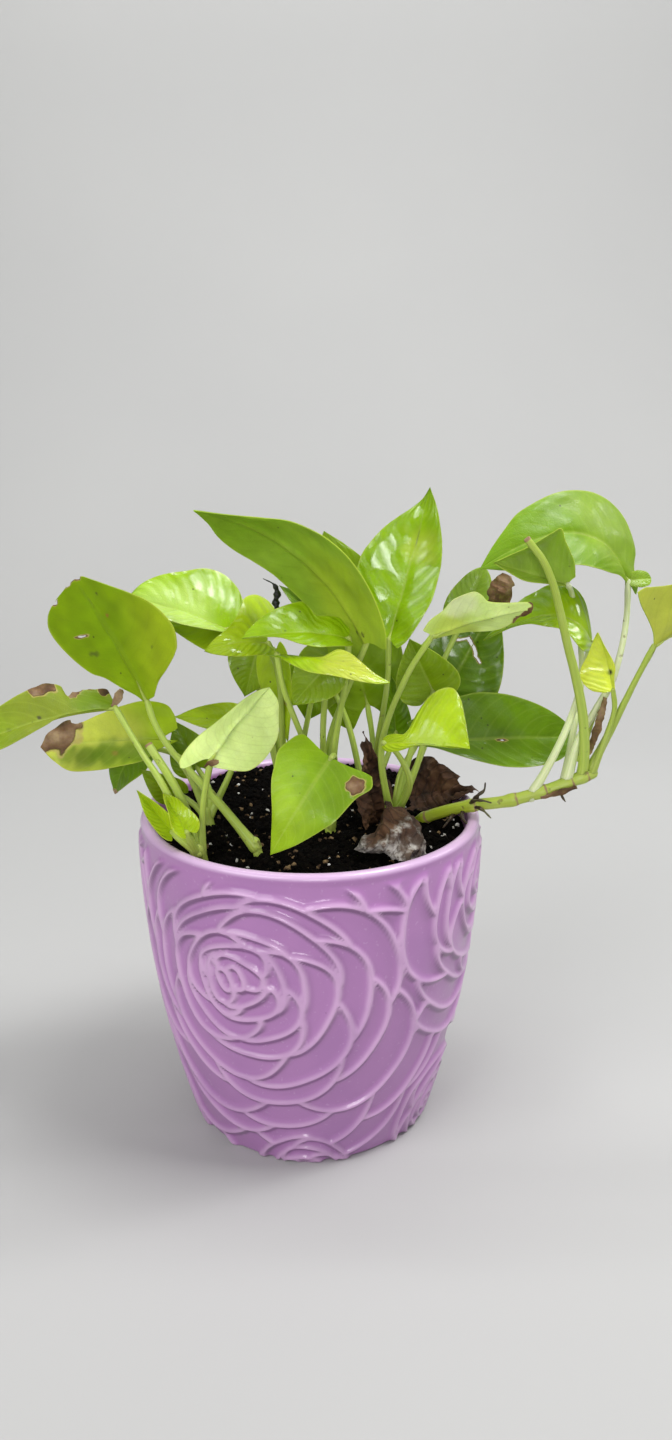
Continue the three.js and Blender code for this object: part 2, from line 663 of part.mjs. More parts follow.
// Withered leaves lying on the mix, cut to lie snugly on it.
const WITHERED = {
  withered_grey: {
    base: [40, -24, 118], tip: [13, -35, 119], face: [0, -0.7, 0.7], width: 34, arch: 12, fold: -6, cup: -45, wave: 2.4,
  },
  withered_brown: {
    base: [42, 29, 118], tip: [65, 13, 132], face: [-0.4, -0.6, 0.7], width: 30, arch: 2, fold: 16, cup: 24, wave: 2.2,
  },
  withered_upright: {
    base: [20, -1, 118], tip: [21, -2, 142], face: [0.4, -0.9, 0.1], width: 13, fold: 24, cup: 40, wave: 1.4,
  },
};

const colours = {
  glaze: new THREE.MeshStandardMaterial({ color: 0xb084be, roughness: 0.18, metalness: 0 }),
  mix: new THREE.MeshStandardMaterial({ color: 0x1d1713, roughness: 1, metalness: 0 }),
  leaf: new THREE.MeshStandardMaterial({ color: 0x8fbc1d, roughness: 0.35, metalness: 0 }),
  withered: new THREE.MeshStandardMaterial({ color: 0x5d4636, roughness: 0.85, metalness: 0 }),
};

const plant = new THREE.Group();
function show(name, solid, material) {
  const mesh = new THREE.Mesh(geometryFrom(solid), material);
  mesh.name = name;
  plant.add(mesh);
}

// The mix has a plain hole for each stem.
let soil = makeSoil();
for (const { path, radius } of Object.values(STEMS)) {
  const deeper = v3(path[0]).lerp(v3(path[1]), -0.25).toArray();
  soil = soil.subtract(tube([deeper, ...path], radius + GAP, radius + GAP, 7, 9));
}
const bedding = soil.translate([0, 0, GAP]);

show("pot", makePot(), colours.glaze);
show("potting_mix", largest(soil), colours.mix);
for (const [name, stem] of Object.entries(STEMS)) show(name, makeStem(stem), colours.leaf);
for (const [name, leaf] of Object.entries(WITHERED))
  show(name, largest(blade(leaf).subtract(bedding)), colours.withered);

export default plant;
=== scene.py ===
"""Potted neon pothos: a glazed pot with a raised rose net, mix, eight leafy stems, three withered leaves.

Sizes are written in millimetres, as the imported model's are, and meshes are made in metres.
"""
import math

import bpy
import numpy as np
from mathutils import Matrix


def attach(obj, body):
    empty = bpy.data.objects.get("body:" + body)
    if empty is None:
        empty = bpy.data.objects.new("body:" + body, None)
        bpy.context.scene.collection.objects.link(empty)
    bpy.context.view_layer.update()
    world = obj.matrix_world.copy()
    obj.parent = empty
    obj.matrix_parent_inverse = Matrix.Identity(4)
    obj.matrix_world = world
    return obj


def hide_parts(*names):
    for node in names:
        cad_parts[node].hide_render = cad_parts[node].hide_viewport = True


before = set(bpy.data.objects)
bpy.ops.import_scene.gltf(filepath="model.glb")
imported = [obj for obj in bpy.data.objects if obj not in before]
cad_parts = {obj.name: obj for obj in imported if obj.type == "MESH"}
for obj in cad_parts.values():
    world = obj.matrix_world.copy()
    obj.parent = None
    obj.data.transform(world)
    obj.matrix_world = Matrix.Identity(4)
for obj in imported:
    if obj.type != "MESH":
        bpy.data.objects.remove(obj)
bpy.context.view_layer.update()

MM = 0.001

# The pot and its filling.
POT_HEIGHT, RIM_RADIUS, BASE_RADIUS, BELLY = 122, 63, 45, 2.1
WALL, FLOOR, PLAIN_RIM = 4.2, 6, 4
RIDGE_HEIGHT, RIDGE_SPREAD, ROUND_SHARE, ROUND_SPREAD = 1.5, 1.3, 0.16, 4
FOOT_DRAWN_IN = [[0.9], [0.25]]  # the lowest two rows of points
SOIL_TOP, SOIL_MOUND, SOIL_HEAP = 115, 2, 6
GRAINS_ABOVE, GRAINS_SINK = 0.1115, 0.0001  # metres

# The plant: stalks, then blades. A leaf's own entry comes before these.
STALK_FOOT, STALK_END, STEM_SLIM = 1.5, 1.2, 0.72
SLIM = 0.8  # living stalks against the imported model's
LEAF_THICKNESS, MARGIN_SHARE = 0.5, 0.55
RIB_RISE, RIB_WIDTH, CHANNEL_DEPTH, CHANNEL_WIDTH = 0.3, 0.9, 0.28, 1.3
VEINS = 9  # side veins on each half of a leaf
FOLD, LOBE, QUILT, FRILL, DENTS, SHINE = 10, 0.12, 0.035, 0.4, 0.32, 0.35
WIDEST, TAPER, BLUNT = 0.24, 1.1, 0.02  # a leaf with no measured outline
DEAD_EDGE = 0.62  # how dry tissue is beside a cut

# Colours of living tissue, by the growers' plain names for them.
TONES = {
    "lime": (0.26, 0.43, 0.002),
    "neon": (0.38, 0.53, 0.008),
    "yellow": (0.52, 0.56, 0.07),
    "leaf": (0.15, 0.28, 0.002),
    "olive": (0.21, 0.32, 0.003),
    "moss": (0.25, 0.38, 0.03),
    "deep": (0.10, 0.19, 0.002),
    "pale": (0.70, 0.88, 0.30),
    "chartreuse": (0.42, 0.50, 0.02),
    "stalk": (0.46, 0.58, 0.10),
    "sap": (0.40, 0.50, 0.08),
    "cream": (0.76, 0.82, 0.48),
    "rust": (0.34, 0.13, 0.04),
    "scar": (0.05, 0.045, 0.02),
    "butter": (0.70, 0.80, 0.06),
    "bark": (0.045, 0.026, 0.014),
    "soot": (0.004, 0.004, 0.003),
    "ochre": (0.20, 0.25, 0.015),
}

# The leaves of each stem. An outline gives, for the right half of a blade (seen on the glossy side, tip up)
# and for the left, pairs of per cent of its length and of half its width. A lobe is how far the blade reaches
# back past its stalk, for both halves or for the left and the right. The tones are those of the upper side
# and the underside. Patches have another tone, as (tone, along the midrib, across it, reach in millimetres,
# strength), and cuts are what was eaten or torn out. Along runs from 0 at the base to 1 at the tip, and
# across from -1 to 1.
TRAILING_LEAVES = dict(
    crown=dict(
        base=(115, 5, 207), tip=(59, -13, 214), face=(0.05, -0.75, 0.65), width=39, arch=12, sway=10, fold=8,
        cup=-14, lobe=(0.05, 0.125), early=0.14, foot=1.9, tones=("leaf", "olive"), shine=0.13,
        stalk_tone="cream",
        stalk=(
            (93.7, -11, 136.7), (97.2, -10, 151.1), (103.2, -8, 162.1), (108.8, -5, 171.3),
            (111.8, -2, 179.2), (114, 1, 188.5), (114.9, 3, 196.6),
        ),
        patches=(("moss", 0.2, 0.4, 26, 0.8),),
        right=(
            "0:12 1.5:22 3.5:28 5.5:30 7.5:30 9.2:36 11.6:62 17.8:84 23.1:97 30.4:103 37.7:102 46.1:95 "
            "55.6:86 68.2:70 76.1:60 84:41 93:19 100:0"
        ),
        left="0:0 9:16 21:46 33:62 45:70 61:68 77:59 85:46 92:29 100:0",
    ),
    lower=dict(
        base=(102.5, 1, 185.5), tip=(64.5, 11, 184), face=(0, -0.75, 0.8), width=30, arch=16, fold=5, cup=-10,
        lobe=0, early=0.3, foot=1.9, tones=("lime", "olive"), shine=0.9, stalk_tone="cream",
        stalk=((80.7, -12, 130.8), (88.3, -11, 145.6), (94, -8, 157.8), (97.3, -5, 167), (99.5, -2, 176.3)),
        # The neon patch is painted light, a lighter tone where the blade catches its highlight.
        patches=(("neon", 0.3, 0, 14, 0.5),),
        right="0:5 6:32 12:58 17:78 27:95 42:100 56:88 65:74 76:65 85:43 94:18 100:0",
        left="0:30 8:52 16:63 24:60 38:42 54:34 69:16 82:8 93:5 100:0",
    ),
    rolled=dict(
        small=True, base=(88.6, -18, 209.4), tip=(62, -24, 217.7), face=(0.1, -0.95, 0.2), width=40, fold=6,
        cup=60, lobe=0.03, thin=1.2, tones=("moss", "moss"), stalk_tone="cream",
        stalk=((93, -10, 136), (97, -2, 152), (101, 7, 170), (100, 10, 186), (94, 0, 203)),
        right="0:20 8:42 20:60 33:78 46:100 52:88 70:50 85:25 100:0", left="0:2 30:12 60:20 80:12 100:0",
    ),
    outer=dict(
        base=(121, -13, 187), tip=(164, 0, 202), face=(-0.3, 0.7, 0.7), width=46, arch=3, fold=14, cup=10,
        lobe=(0, 0.14), foot=1.8, tones=("lime", "yellow"), shine=0.3, stalk_tone="sap",
        stalk=((102.7, -10, 141.6), (108.7, -10, 155.4), (112.6, -11, 165.8), (116.4, -12, 175.9)),
        right="0:130 5:126 10:116 20:100 40:82 60:66 80:42 100:0",
        left="0:5 5:30 14:50 30:70 50:80 70:66 85:40 100:0",
    ),
    nub=dict(
        small=True, base=(114.6, 5, 207.2), tip=(123.8, 7, 207.6), face=(0, -0.85, 0.5), width=6.4, arch=0.5,
        fold=4, cup=10, lobe=0, thin=0.8, tones=("moss", "moss"),
        stalk=(
            (98, -10, 145), (103.2, -8, 162.1), (108.8, -5, 171.3), (111.8, -2, 179.2), (114, 1, 188.5),
            (114.9, 3, 196.6),
        ),
        right="0:50 20:85 50:105 80:85 94:50 100:0", left="0:50 20:85 50:105 80:85 94:50 100:0",
    ),
    young=dict(
        small=True, base=(107.8, -13, 170.8), tip=(101.3, -12, 191.6), face=(-0.35, -0.9, 0.2), width=24,
        arch=-4, fold=8, cup=14, lobe=0.02, thin=1, wave=0.5, tones=("butter", "yellow"), shine=0.75,
        stalk_tone="sap", stalk=((103, -10.5, 140), (107, -11.5, 154), (109, -12, 164)),
        patches=(("scar", 0.28, 0.1, 1.3, 1),), right="0:5 7:8 18:10 33:20 45:18 59:12 78:5 100:0",
        left="0:25 6:62 18:80 33:87 47:79 68:49 88:21 100:0",
    ),
)
LEFT_FRONT_LEAVES = dict(
    pale=dict(
        base=(-32.4, -40, 153.8), tip=(-13, -28, 176), face=(0.35, 0.75, 0.5), width=38, arch=3, fold=-4,
        cup=-8, lobe=(0.05, 0.3), tones=("lime", "pale"), stalk=((-37, -36, 118), (-35.5, -39, 138)),
        right="0:40 3:48 12:49 25:44 39:35 55:27 72:21 89:12 96:5 100:0",
        left="0:10 5:30 10:48 20:69 38:79 64:73 83:50 95:30 100:0",
    ),
    far_left=dict(
        base=(-67, -22, 167), tip=(-125, -42, 152), face=(-0.1, -0.6, 0.75), width=28, arch=6, fold=4, cup=6,
        lobe=0, tones=("ochre", "olive"), shine=0.08,
        stalk=((-39, -38, 119), (-44.2, -38, 132.7), (-50.3, -35, 144.5), (-57, -30, 153)),
        patches=(
            ("dry", 0.34, 1, 7, 1), ("dry", 0.2, 1, 3.2, 1), ("dry", 0.02, 1, 4, 0.9),
            ("scar", 0.4, 0.1, 1.1, 0.9), ("scar", 0.57, 0.02, 1.2, 0.9), ("olive", 0.75, 0, 22, 0.5),
            ("leaf", 0.1, 0.2, 10, 0.6),
        ),
        cuts=(("bite", 0.17, 1.15, 2.2), ("bite", 0.1, 1.2, 1.6)),
        right="0:30 3:62 9:61 18:64 22.5:50 25:86 32:101 45:94 58:77 80:45 100:0",
        left="0:2 30:4 38:20 52:40 64:49 80:40 100:0",
    ),
    shoot=dict(
        small=True, base=(-46.5, -38, 127), tip=(-59.5, -31, 140), face=(-0.4, -0.6, 0.7), width=10, fold=30,
        cup=30, thin=1.4, wave=0.5, tones=("neon", "neon"), shine=0.5, stalk=((-38, -38, 119),),
    ),
    curl=dict(
        small=True, base=(-41, -43, 129), tip=(-49, -38, 141.5), face=(0.6, -0.8, 0), width=12, fold=25,
        cup=30, thin=1.2, wave=1.1, tones=("neon", "neon"), shine=0.7, stalk=((-38, -37, 118),),
    ),
)
LEFT_LEAVES = dict(
    raised=dict(
        base=(-57, -16, 168), tip=(-82, -10, 212), face=(0.3, 0.9, 0.35), width=51, arch=2, fold=-4, cup=-6,
        lobe=0, foot=2.1, tones=("leaf", "olive"), shine=0.1,
        stalk=(
            (-19, -29, 118), (-33.2, -26, 135.4), (-42.1, -23, 144.3), (-49.7, -20, 152.6),
            (-54.7, -18, 161.2),
        ),
        patches=(
            ("chartreuse", 0.25, -0.9, 30, 0.45), ("leaf", 0.6, 0.2, 20, 0.3), ("scar", 0.45, 0.53, 1.6, 0.6),
            ("scar", 0.47, 0.6, 1.4, 0.6), ("rust", 0.64, -0.15, 0.9, 1), ("scar", 0.3, -0.5, 0.8, 0.8),
            ("scar", 0.8, -0.4, 0.7, 0.8),
        ),
        cuts=(("tip", 0.95), ("bite", 0.915, 1.1, 1.5), ("hole", 0.61, 0.55, 1.7, 0.45, 70)),
        right="0:5 6:12 15:27 27:45 36:65 51:81 64:87 76:86 84:76 90:56 95:20 100:0",
        left="0:16 7:35 12:63 18:91 23:104 34:114 45:109 57:95 69:71 79:49 87:32 95:14 100:0",
    ),
)
LEFT_BACK_LEAVES = dict(
    yellowing=dict(
        base=(-55, 3, 148), tip=(-100, -1, 146), face=(0, -0.8, 0.6), width=30, arch=2, fold=3, cup=4,
        tones=("neon", "olive"), shine=0.12, stalk=((-39, -2, 119), (-46, 3, 134)),
        patches=(
            ("yellow", 0.62, 0.3, 26, 0.9), ("yellow", 0.8, -0.3, 18, 0.8), ("deep", 0.45, -0.5, 8, 0.8),
            ("deep", 0.25, -0.6, 8, 0.75), ("deep", 0.62, -0.5, 7, 0.75), ("deep", 0.78, -0.45, 5, 0.6),
            ("rust", 0.4, -0.5, 1.6, 0.4), ("dry", 0.9, 0.9, 13, 1), ("dry", 0.78, 1, 8, 1),
        ),
        cuts=(("bite", 0.7, 1.25, 2.5),),
        right="0:30 2:65 8:92 21:101 36:90 52:70 68:52 76:62 88:45 95:30 100:0",
        left="0:5 13:30 23:60 39:70 59:77 73:75 89:40 100:0",
    ),
    hanging=dict(
        small=True, base=(-65, 15, 142), tip=(-76, 12, 123), face=(-0.5, -0.7, 0.4), width=22, arch=3, fold=8,
        tones=("leaf", "olive"), stalk=((-39, -1, 120), (-49, 9, 138)), patches=(("dry", 1, 0, 3, 1),),
    ),
    inner=dict(
        small=True, base=(-25, 3, 153.5), tip=(-50, 0, 157.5), face=(0, -0.5, 0.85), width=17, arch=1,
        fold=12, tones=("neon", "pale"), stalk=((-38, -2, 119), (-29, 3, 138)),
    ),
    shaded=dict(
        small=True, base=(-44, 14, 133), tip=(-53, 18, 151), face=(-0.2, -0.95, 0.2), width=18, fold=6,
        tones=("olive", "olive"), stalk=((-38, -1, 120), (-39, 7, 127)),
    ),
    low=dict(
        small=True, base=(-51, 7, 125), tip=(-64, 3, 136), face=(-0.4, -0.9, 0), width=15, fold=12,
        tones=("olive", "olive"), stalk=((-39, -1, 118), (-45, 4, 122)),
    ),
)
CENTRE_LEFT_LEAVES = dict(
    glossy=dict(
        base=(-30, 6, 189), tip=(-66, 4, 201), face=(0.1, -0.55, 0.9), width=44, arch=2, fold=20, cup=-8,
        tones=("lime", "olive"), shine=0.9, stalk=((-9, 5, 120), (-14, 7, 150), (-23, 7, 176)),
        patches=(("pale", 0.55, -0.5, 22, 0.4),), right="0:35 6:66 14:85 26:95 40:93 56:77 76:58 90:34 100:0",
        left="0:5 10:15 30:34 55:42 80:32 92:14 100:0",
    ),
    beneath=dict(
        small=True, base=(-27, 14, 188.5), tip=(-57, 11, 193), face=(-0.1, -0.7, 0.7), width=28, fold=8,
        tones=("neon", "moss"), stalk=((-9, 6, 120), (-14, 12, 146), (-20, 15, 168)),
    ),
    middle=dict(
        base=(-14, -13, 188), tip=(-35, -26, 188), face=(0.39, -0.63, 0.7), width=38, arch=3, fold=2, cup=-6,
        lobe=(0.12, 0.5), tones=("neon", "moss"), shine=0.7,
        stalk=((-9, 4, 120), (-10, -3, 150), (-11, -9, 176)),
        right="0:92 5:105 15:110 28:100 36:80 47:55 62:33 86:14 100:0",
        left="0:25 23:28 46:30 75:22 92:10 100:0",
    ),
    drooping=dict(
        small=True, base=(-13, -2, 182), tip=(-8, -4, 149), face=(-0.4, -0.9, 0), width=14, arch=1, fold=10,
        thin=1.2, tones=("neon", "moss"), stalk=((-9, 5, 120), (-15, 3, 150), (-15, 1, 172)),
        patches=(("rust", 0.55, -0.6, 2, 0.9),),
    ),
    tucked=dict(
        small=True, base=(-19, 2, 183), tip=(-24, 1, 165), face=(0, -0.95, 0.2), width=20, arch=1, fold=6,
        thin=1.2, tones=("olive", "olive"), stalk=((-9, 6, 120), (-13, 6, 150), (-17, 4, 174)),
    ),
    sliver=dict(
        small=True, base=(6, 2, 192), tip=(-10.7, 2, 206), face=(0.5, -0.8, 0.3), width=10, fold=20, thin=1,
        tones=("deep", "deep"), stalk=((-8, 4, 120), (-2, 6, 150), (3, 4, 176)),
    ),
)
CENTRE_FRONT_LEAVES = dict(
    heart=dict(
        base=(8, -44, 156), tip=(-12, -54, 125.5), face=(-0.1, -0.9, 0.45), width=35, arch=3, fold=-4, cup=-8,
        lobe=0.06, tones=("lime", "olive"), shine=0.12, stalk=((8, -12, 119), (9, -22, 136), (9, -37, 154)),
        # Painted light and shade: the deep patch is a painted shadow over one half, and the neon patch
        # painted light on the other half.
        patches=(("deep", 0.2, -0.65, 19, 0.6), ("neon", 0.7, 0.5, 15, 0.25), ("dry", 0.12, -0.74, 4.2, 1)),
        right="0:74 4:84 10:90 20:96 34:84 44:75 71:36 85:18 100:0",
        left="0:85 7:96 21:82 45:73 60:58 80:34 90:18 100:0",
    ),
    sail=dict(
        base=(20, -21, 189.5), tip=(-37, -26, 235), face=(0.5, 0.75, 0.55), width=38, arch=12, fold=-6,
        cup=-12, lobe=0.08, tones=("lime", "moss"), stalk=((8, -10, 120), (7, -12, 150), (15, -17, 176)),
        patches=(
            ("chartreuse", 0.2, -0.3, 26, 0.45), ("leaf", 0.85, 0, 22, 0.35), ("scar", 0.06, 0.1, 0.9, 0.9),
            ("scar", 0.04, -0.1, 0.8, 0.9),
        ),
        right="0:42 7:46 12:52 21:66 32:74 43:75 54:71 65:70 74:68 83:56 92:25 100:0",
        left="0:60 5:85 12:100 20:113 28:122 38:127 48:122 56:110 65:92 75:53 84:26 92:9 100:0",
    ),
    folded=dict(
        base=(14, -28.5, 192.9), tip=(-21, -39, 195), face=(0.1, -0.62, 0.8), width=26, arch=3, fold=6, cup=4,
        lobe=0.02, tones=("lime", "moss"), shine=0.4, stalk=((8, -11, 120), (9, -17, 150), (13, -24, 178)),
        patches=(("lime", 0.4, 0.3, 16, 0.5),),
        right="0:30 5:45 10:58 20:58 29:56 36:80 42:98 52:90 64:76 82:48 95:18 100:0",
        left="0:25 6:34 16:42 35:53 51:40 68:14 83:5 100:0",
    ),
    bright=dict(
        small=True, base=(-10, -35, 189), tip=(27, -46, 182), face=(0.1, -0.6, 0.8), width=18, arch=3, fold=6,
        cup=-10, thin=1.1, tones=("neon", "lime"), shine=0.7,
        stalk=((7, -12, 120), (0, -22, 150), (-8, -31, 176)),
        patches=(("yellow", 0.65, 0, 12, 0.8), ("lime", 0.05, 0, 16, 0.9)),
        right="0:5 12:20 25:50 41:71 58:63 72:53 87:36 95:20 100:0",
        left="0:0 30:3 42:14 47:45 53:69 60:66 71:42 86:12 100:0",
    ),
    shaded=dict(
        small=True, base=(8, -24, 184), tip=(-6, -23, 168), face=(-0.4, -0.9, 0.1), width=20, fold=10,
        thin=1.2, tones=("olive", "olive"), stalk=((8, -11, 120), (5, -15, 150), (6, -22, 172)),
    ),
)
CENTRE_BACK_LEAVES = dict(
    tall=dict(
        base=(28, -12, 189), tip=(42, -4, 241), face=(-0.2, -0.9, 0.3), width=34, arch=-3, fold=12, cup=-4,
        lobe=0.04, tones=("lime", "olive"), shine=1, stalk=((22, 11, 120), (25, 2, 146), (28, -9, 174)),
        patches=(("yellow", 0.63, 0.25, 9, 0.4),),
        right="0:25 6:40 14:50 22:58 33:66 44:66 55:64 68:55 79:41 89:25 100:0",
        left="0:30 8:55 20:85 35:103 48:103 58:92 69:73 78:49 86:24 93:8 100:0",
    ),
    behind=dict(
        base=(22, 25, 155), tip=(5, 24, 223), face=(0, -0.9, 0.2), width=36, arch=2, fold=6,
        tones=("olive", "olive"), stalk=((22, 13, 120), (24, 20, 140)),
        right="0:50 8:80 25:98 45:100 62:95 78:72 90:38 100:0",
        left="0:50 8:80 25:95 45:90 62:75 78:50 90:25 100:0",
    ),
    spotted=dict(
        small=True, base=(4, 22, 172), tip=(-2, 24, 149), face=(0, -0.95, 0.2), width=24, arch=1, fold=6,
        thin=1.2, tones=("olive", "olive"), stalk=((21, 13, 120), (14, 19, 150)),
        patches=(
            ("scar", 0.52, -0.1, 1.6, 1), ("scar", 0.75, 0, 1.4, 1), ("scar", 0.35, -0.4, 1.2, 1),
            ("rust", 0.6, 0.3, 1.6, 0.8),
        ),
    ),
    slim=dict(
        small=True, base=(33, 21, 145), tip=(31, 21, 168), face=(0.1, -1, 0), width=13, fold=20, thin=1.2,
        tones=("leaf", "leaf"), shine=0.9, stalk=((23, 12, 120), (29, 19, 134)),
    ),
)
RIGHT_LEAVES = dict(
    long=dict(
        base=(42, -25, 193), tip=(75.5, -31.5, 203.5), face=(-0.2, 0.8, 0.55), width=26, arch=2, fold=8,
        cup=4, lobe=0.05, tones=("lime", "pale"), shine=0.3,
        stalk=((30, -6, 120), (26, -13, 150), (34, -21, 178)),
        patches=(
            # The cream patch is a painted highlight.
            ("chartreuse", 0.2, -0.4, 14, 0.7), ("cream", 0.38, 0.8, 8, 0.8), ("dry", 1, 0, 1.8, 1),
            ("dry", 0.97, -0.6, 2.6, 1), ("dry", 0.91, -0.95, 2.9, 1), ("dry", 0.85, -1, 2.6, 1),
            ("dry", 0.79, -1, 2.2, 0.9),
        ),
        cuts=(("tip", 0.97),), right="0:30 9:53 20:64 32:84 42:87 51:87 57:70 61:47 76:33 97:23 100:5",
        left="0:10 8:19 21:34 34:49 47:66 61:70 81:42 96:10 100:0",
    ),
    cupped=dict(
        small=True, base=(25.9, -31, 157), tip=(54.2, -41, 158), face=(-0.05, -0.85, 0.5), width=36, arch=3,
        fold=0, cup=-12, lobe=0.02, tones=("neon", "leaf"), shine=0.9,
        stalk=((31, -7, 120), (36, -18, 138), (30, -27, 153)), right="0:10 7:17 20:16 38:6 50:3 80:3 100:0",
        left="0:10 5:16 14:18 24:17 30:30 36:63 48:97 60:112 73:116 83:100 92:58 100:0",
    ),
    low=dict(
        base=(40, 4, 146), tip=(101, 12.5, 146), face=(-0.1, -0.9, 0.45), width=32, arch=3, fold=4, cup=6,
        lobe=0.05, tones=("leaf", "deep"), shine=0.3, stalk=((31, -5, 120), (34, 0, 136)),
        patches=(("deep", 0.25, 0, 30, 0.9), ("deep", 0.9, 0.2, 22, 0.6)),
        cuts=(("hole", 0.52, 0.05, 1.1, 0.3, 5),),
        right="0:5 12:12 25:33 38:53 54:70 68:72 85:60 94:38 100:0",
        left="0:50 15:85 32:107 40:112 54:107 68:91 82:67 94:36 100:0",
    ),
    torn=dict(
        base=(52, 24, 160), tip=(72, 29, 196), face=(-0.2, -0.95, 0.1), width=36, fold=10,
        tones=("deep", "deep"), shine=0.6, stalk=((31, -4, 120), (41, 7, 138)),
        cuts=(("crack", ((0.5, -0.42), (0.56, -0.2), (0.5, 0.1), (0.45, 0.2), (0.42, 0.36)), 0.45),),
    ),
    round=dict(
        small=True, base=(56, 8, 192), tip=(64, 12, 211), face=(-0.2, -0.8, 0.5), width=17, fold=10,
        taper=0.6, tones=("moss", "moss"), stalk=((31, -5, 120), (38, 0, 146), (48, 6, 174)),
    ),
    rising=dict(
        small=True, base=(44.5, -8, 169), tip=(35.5, -10, 189), face=(-0.3, -0.9, 0.2), width=24, fold=12,
        thin=1.2, tones=("olive", "olive"), stalk=((32, -6, 120), (40, -8, 144)),
    ),
)

# Each stem has its path from the mix up. Some have node rings (millimetres along), dark air roots, a black
# wisp, papery scraps (line, width, seed) and a bare stalk whose leaf was cut off.
STEMS = {
    "stem_trailing": dict(
        radius=2.5, slim=0.88, tone="sap", foot_tone="chartreuse",
        path=(
            (34, 11, 104), (39, 6, 112), (45, 0, 118.5), (59, -8, 125.6), (72, -11, 128.5), (86, -12, 133),
            (103, -10, 139),
        ),
        nodes=(19, 40, 55, 66, 76, 82),
        roots=(
            ((59, -8, 126), (60, -12, 129), (63, -14.5, 130), (66, -14, 129)),
            ((60, -9, 126), (63, -13, 126), (66, -15, 123.5)),
            ((57, -7, 124), (56, -11, 122.5), (58, -14, 120.5), (61, -14.5, 119.5)),
            ((61, -8, 128), (62, -9.5, 130.5), (64, -9, 132), (64.5, -8, 134.5)),
            ((54, -5, 122), (52, -9, 121), (49, -12, 118.5)),
            ((91, -11, 134), (92, -13, 131), (93, -14, 129.5)),
        ),
        scraps=(
            (((101, -12, 147), (103.5, -12.5, 158), (105.5, -12, 168)), 3, 61),
            (((84, -14, 131), (90, -15, 133), (97, -14, 135)), 2.2, 62),
        ),
        bare=dict(
            radii=(2.1, 1.15), tone="sap",
            path=(
                (99, -10, 137), (99.4, -11, 142), (98.9, -13, 150.6), (96.6, -16, 164.3), (92.8, -19, 177.6),
                (88.8, -22, 189.2), (85.2, -25, 200.4), (81.5, -28, 211), (77.5, -30, 219),
                (71.5, -31, 226.5),
            ),
        ),
        leaves=TRAILING_LEAVES,
    ),
    "stem_left_front": dict(
        radius=3, path=((-35, -34, 99), (-36, -35, 110), (-38, -37, 121)),
        scraps=(
            (((-68, -22, 167.5), (-66.3, -21.5, 170.5), (-64.8, -21, 173.5)), 3.2, 63),
            (((-34.5, -40.5, 151.5), (-32.5, -41.5, 153), (-29.5, -41.5, 153.6)), 2.2, 65),
        ),
        bare=dict(
            radii=(1.55, 1.4), tone="stalk",
            path=((-38, -37, 119), (-40, -36, 129), (-45.5, -34, 142), (-55, -29, 156)),
        ),
        leaves=LEFT_FRONT_LEAVES,
    ),
    "stem_left": dict(
        radius=2.4, path=((-17, -30, 99), (-17, -30, 110), (-19, -29, 120)), leaves=LEFT_LEAVES,
    ),
    "stem_left_back": dict(
        radius=2.6, path=((-36, -4, 99), (-37, -3, 110), (-39, -2, 121)), leaves=LEFT_BACK_LEAVES,
    ),
    "stem_centre_left": dict(
        radius=2.8, path=((-8, 4, 99), (-8, 4, 110), (-9, 5, 122)), leaves=CENTRE_LEFT_LEAVES,
    ),
    "stem_centre_front": dict(
        radius=2.8, path=((8, -10, 99), (8, -10, 110), (7, -11, 122)),
        wisps=(
            (
                (-10.4, -14, 199), (-11.3, -12, 202.5), (-10.8, -11, 205.5), (-11.9, -11, 208.3),
                (-15.6, -10, 210.2),
            ),
        ),
        leaves=CENTRE_FRONT_LEAVES,
    ),
    "stem_centre_back": dict(
        radius=2.8, path=((22, 12, 99), (22, 12, 110), (22, 12, 122)), leaves=CENTRE_BACK_LEAVES,
    ),
    "stem_right": dict(
        radius=2.8, path=((30, -6, 99), (30, -6, 110), (30, -6, 122)),
        scraps=((((62.5, -27, 202.5), (64.3, -26.5, 208), (66.3, -26.5, 214)), 8, 64),), leaves=RIGHT_LEAVES,
    ),
}

# The dead leaves on the mix.
WITHERED = {
    "withered_grey": dict(
        base=(40, -24, 118), tip=(16.5, -34, 119), face=(0, -0.7, 0.7), width=34, arch=12, fold=-6, cup=-45,
        wave=2.4, cuts=(("bite", 0.35, 1.05, 1.5),),
    ),
    "withered_brown": dict(
        base=(37, 27, 115.5), tip=(66.5, 11.5, 124), face=(-0.4, -0.6, 0.7), width=31, arch=2, fold=16,
        cup=24, wave=2.6,
        cuts=(
            ("bite", 0.3, 1, 3.2), ("bite", 0.62, 1.1, 3.4), ("bite", 0.8, -0.9, 2.6),
            ("bite", 0.95, 0.5, 1.8),
        ),
    ),
    "withered_upright": dict(
        base=(25, -1, 117), tip=(19.5, -3, 153), face=(0.3, -0.95, 0.1), width=20, fold=18, cup=34, wave=1.6,
        cuts=(("bite", 0.5, 1.1, 1.8), ("bite", 0.93, -0.6, 1.6)),
    ),
}
WITHERED_FORM = dict(tones=("rust", "rust"), quilt=0.3, frill=3, withered=1, crumpled=2.2)


def unit(vectors):
    return vectors / np.maximum(np.linalg.norm(vectors, axis=-1, keepdims=True), 1e-9)


def smooth(x):
    """Runs softly from 0 to 1 as x does."""
    x = np.clip(x, 0, 1)
    return x * x * (3 - 2 * x)


def bell(x):
    """1 at x = 0, and near 0 from 2 on to either side."""
    return np.exp(-(x**2))


def circle(count):
    """The angles of `count` points round a circle."""
    return np.arange(count) * 2 * math.pi / count


def swell(points, size, seed):
    """Smooth noise from about -1 to 1, with bumps about `size` across."""
    random = np.random.default_rng(seed)
    total = 0
    for _ in range(7):
        direction = unit(random.normal(size=np.shape(points)[-1]))
        waves = 2 * math.pi / size * random.uniform(0.6, 1.5)
        total = total + np.sin(points @ direction * waves + random.uniform(0, 2 * math.pi))
    return total / 3.4


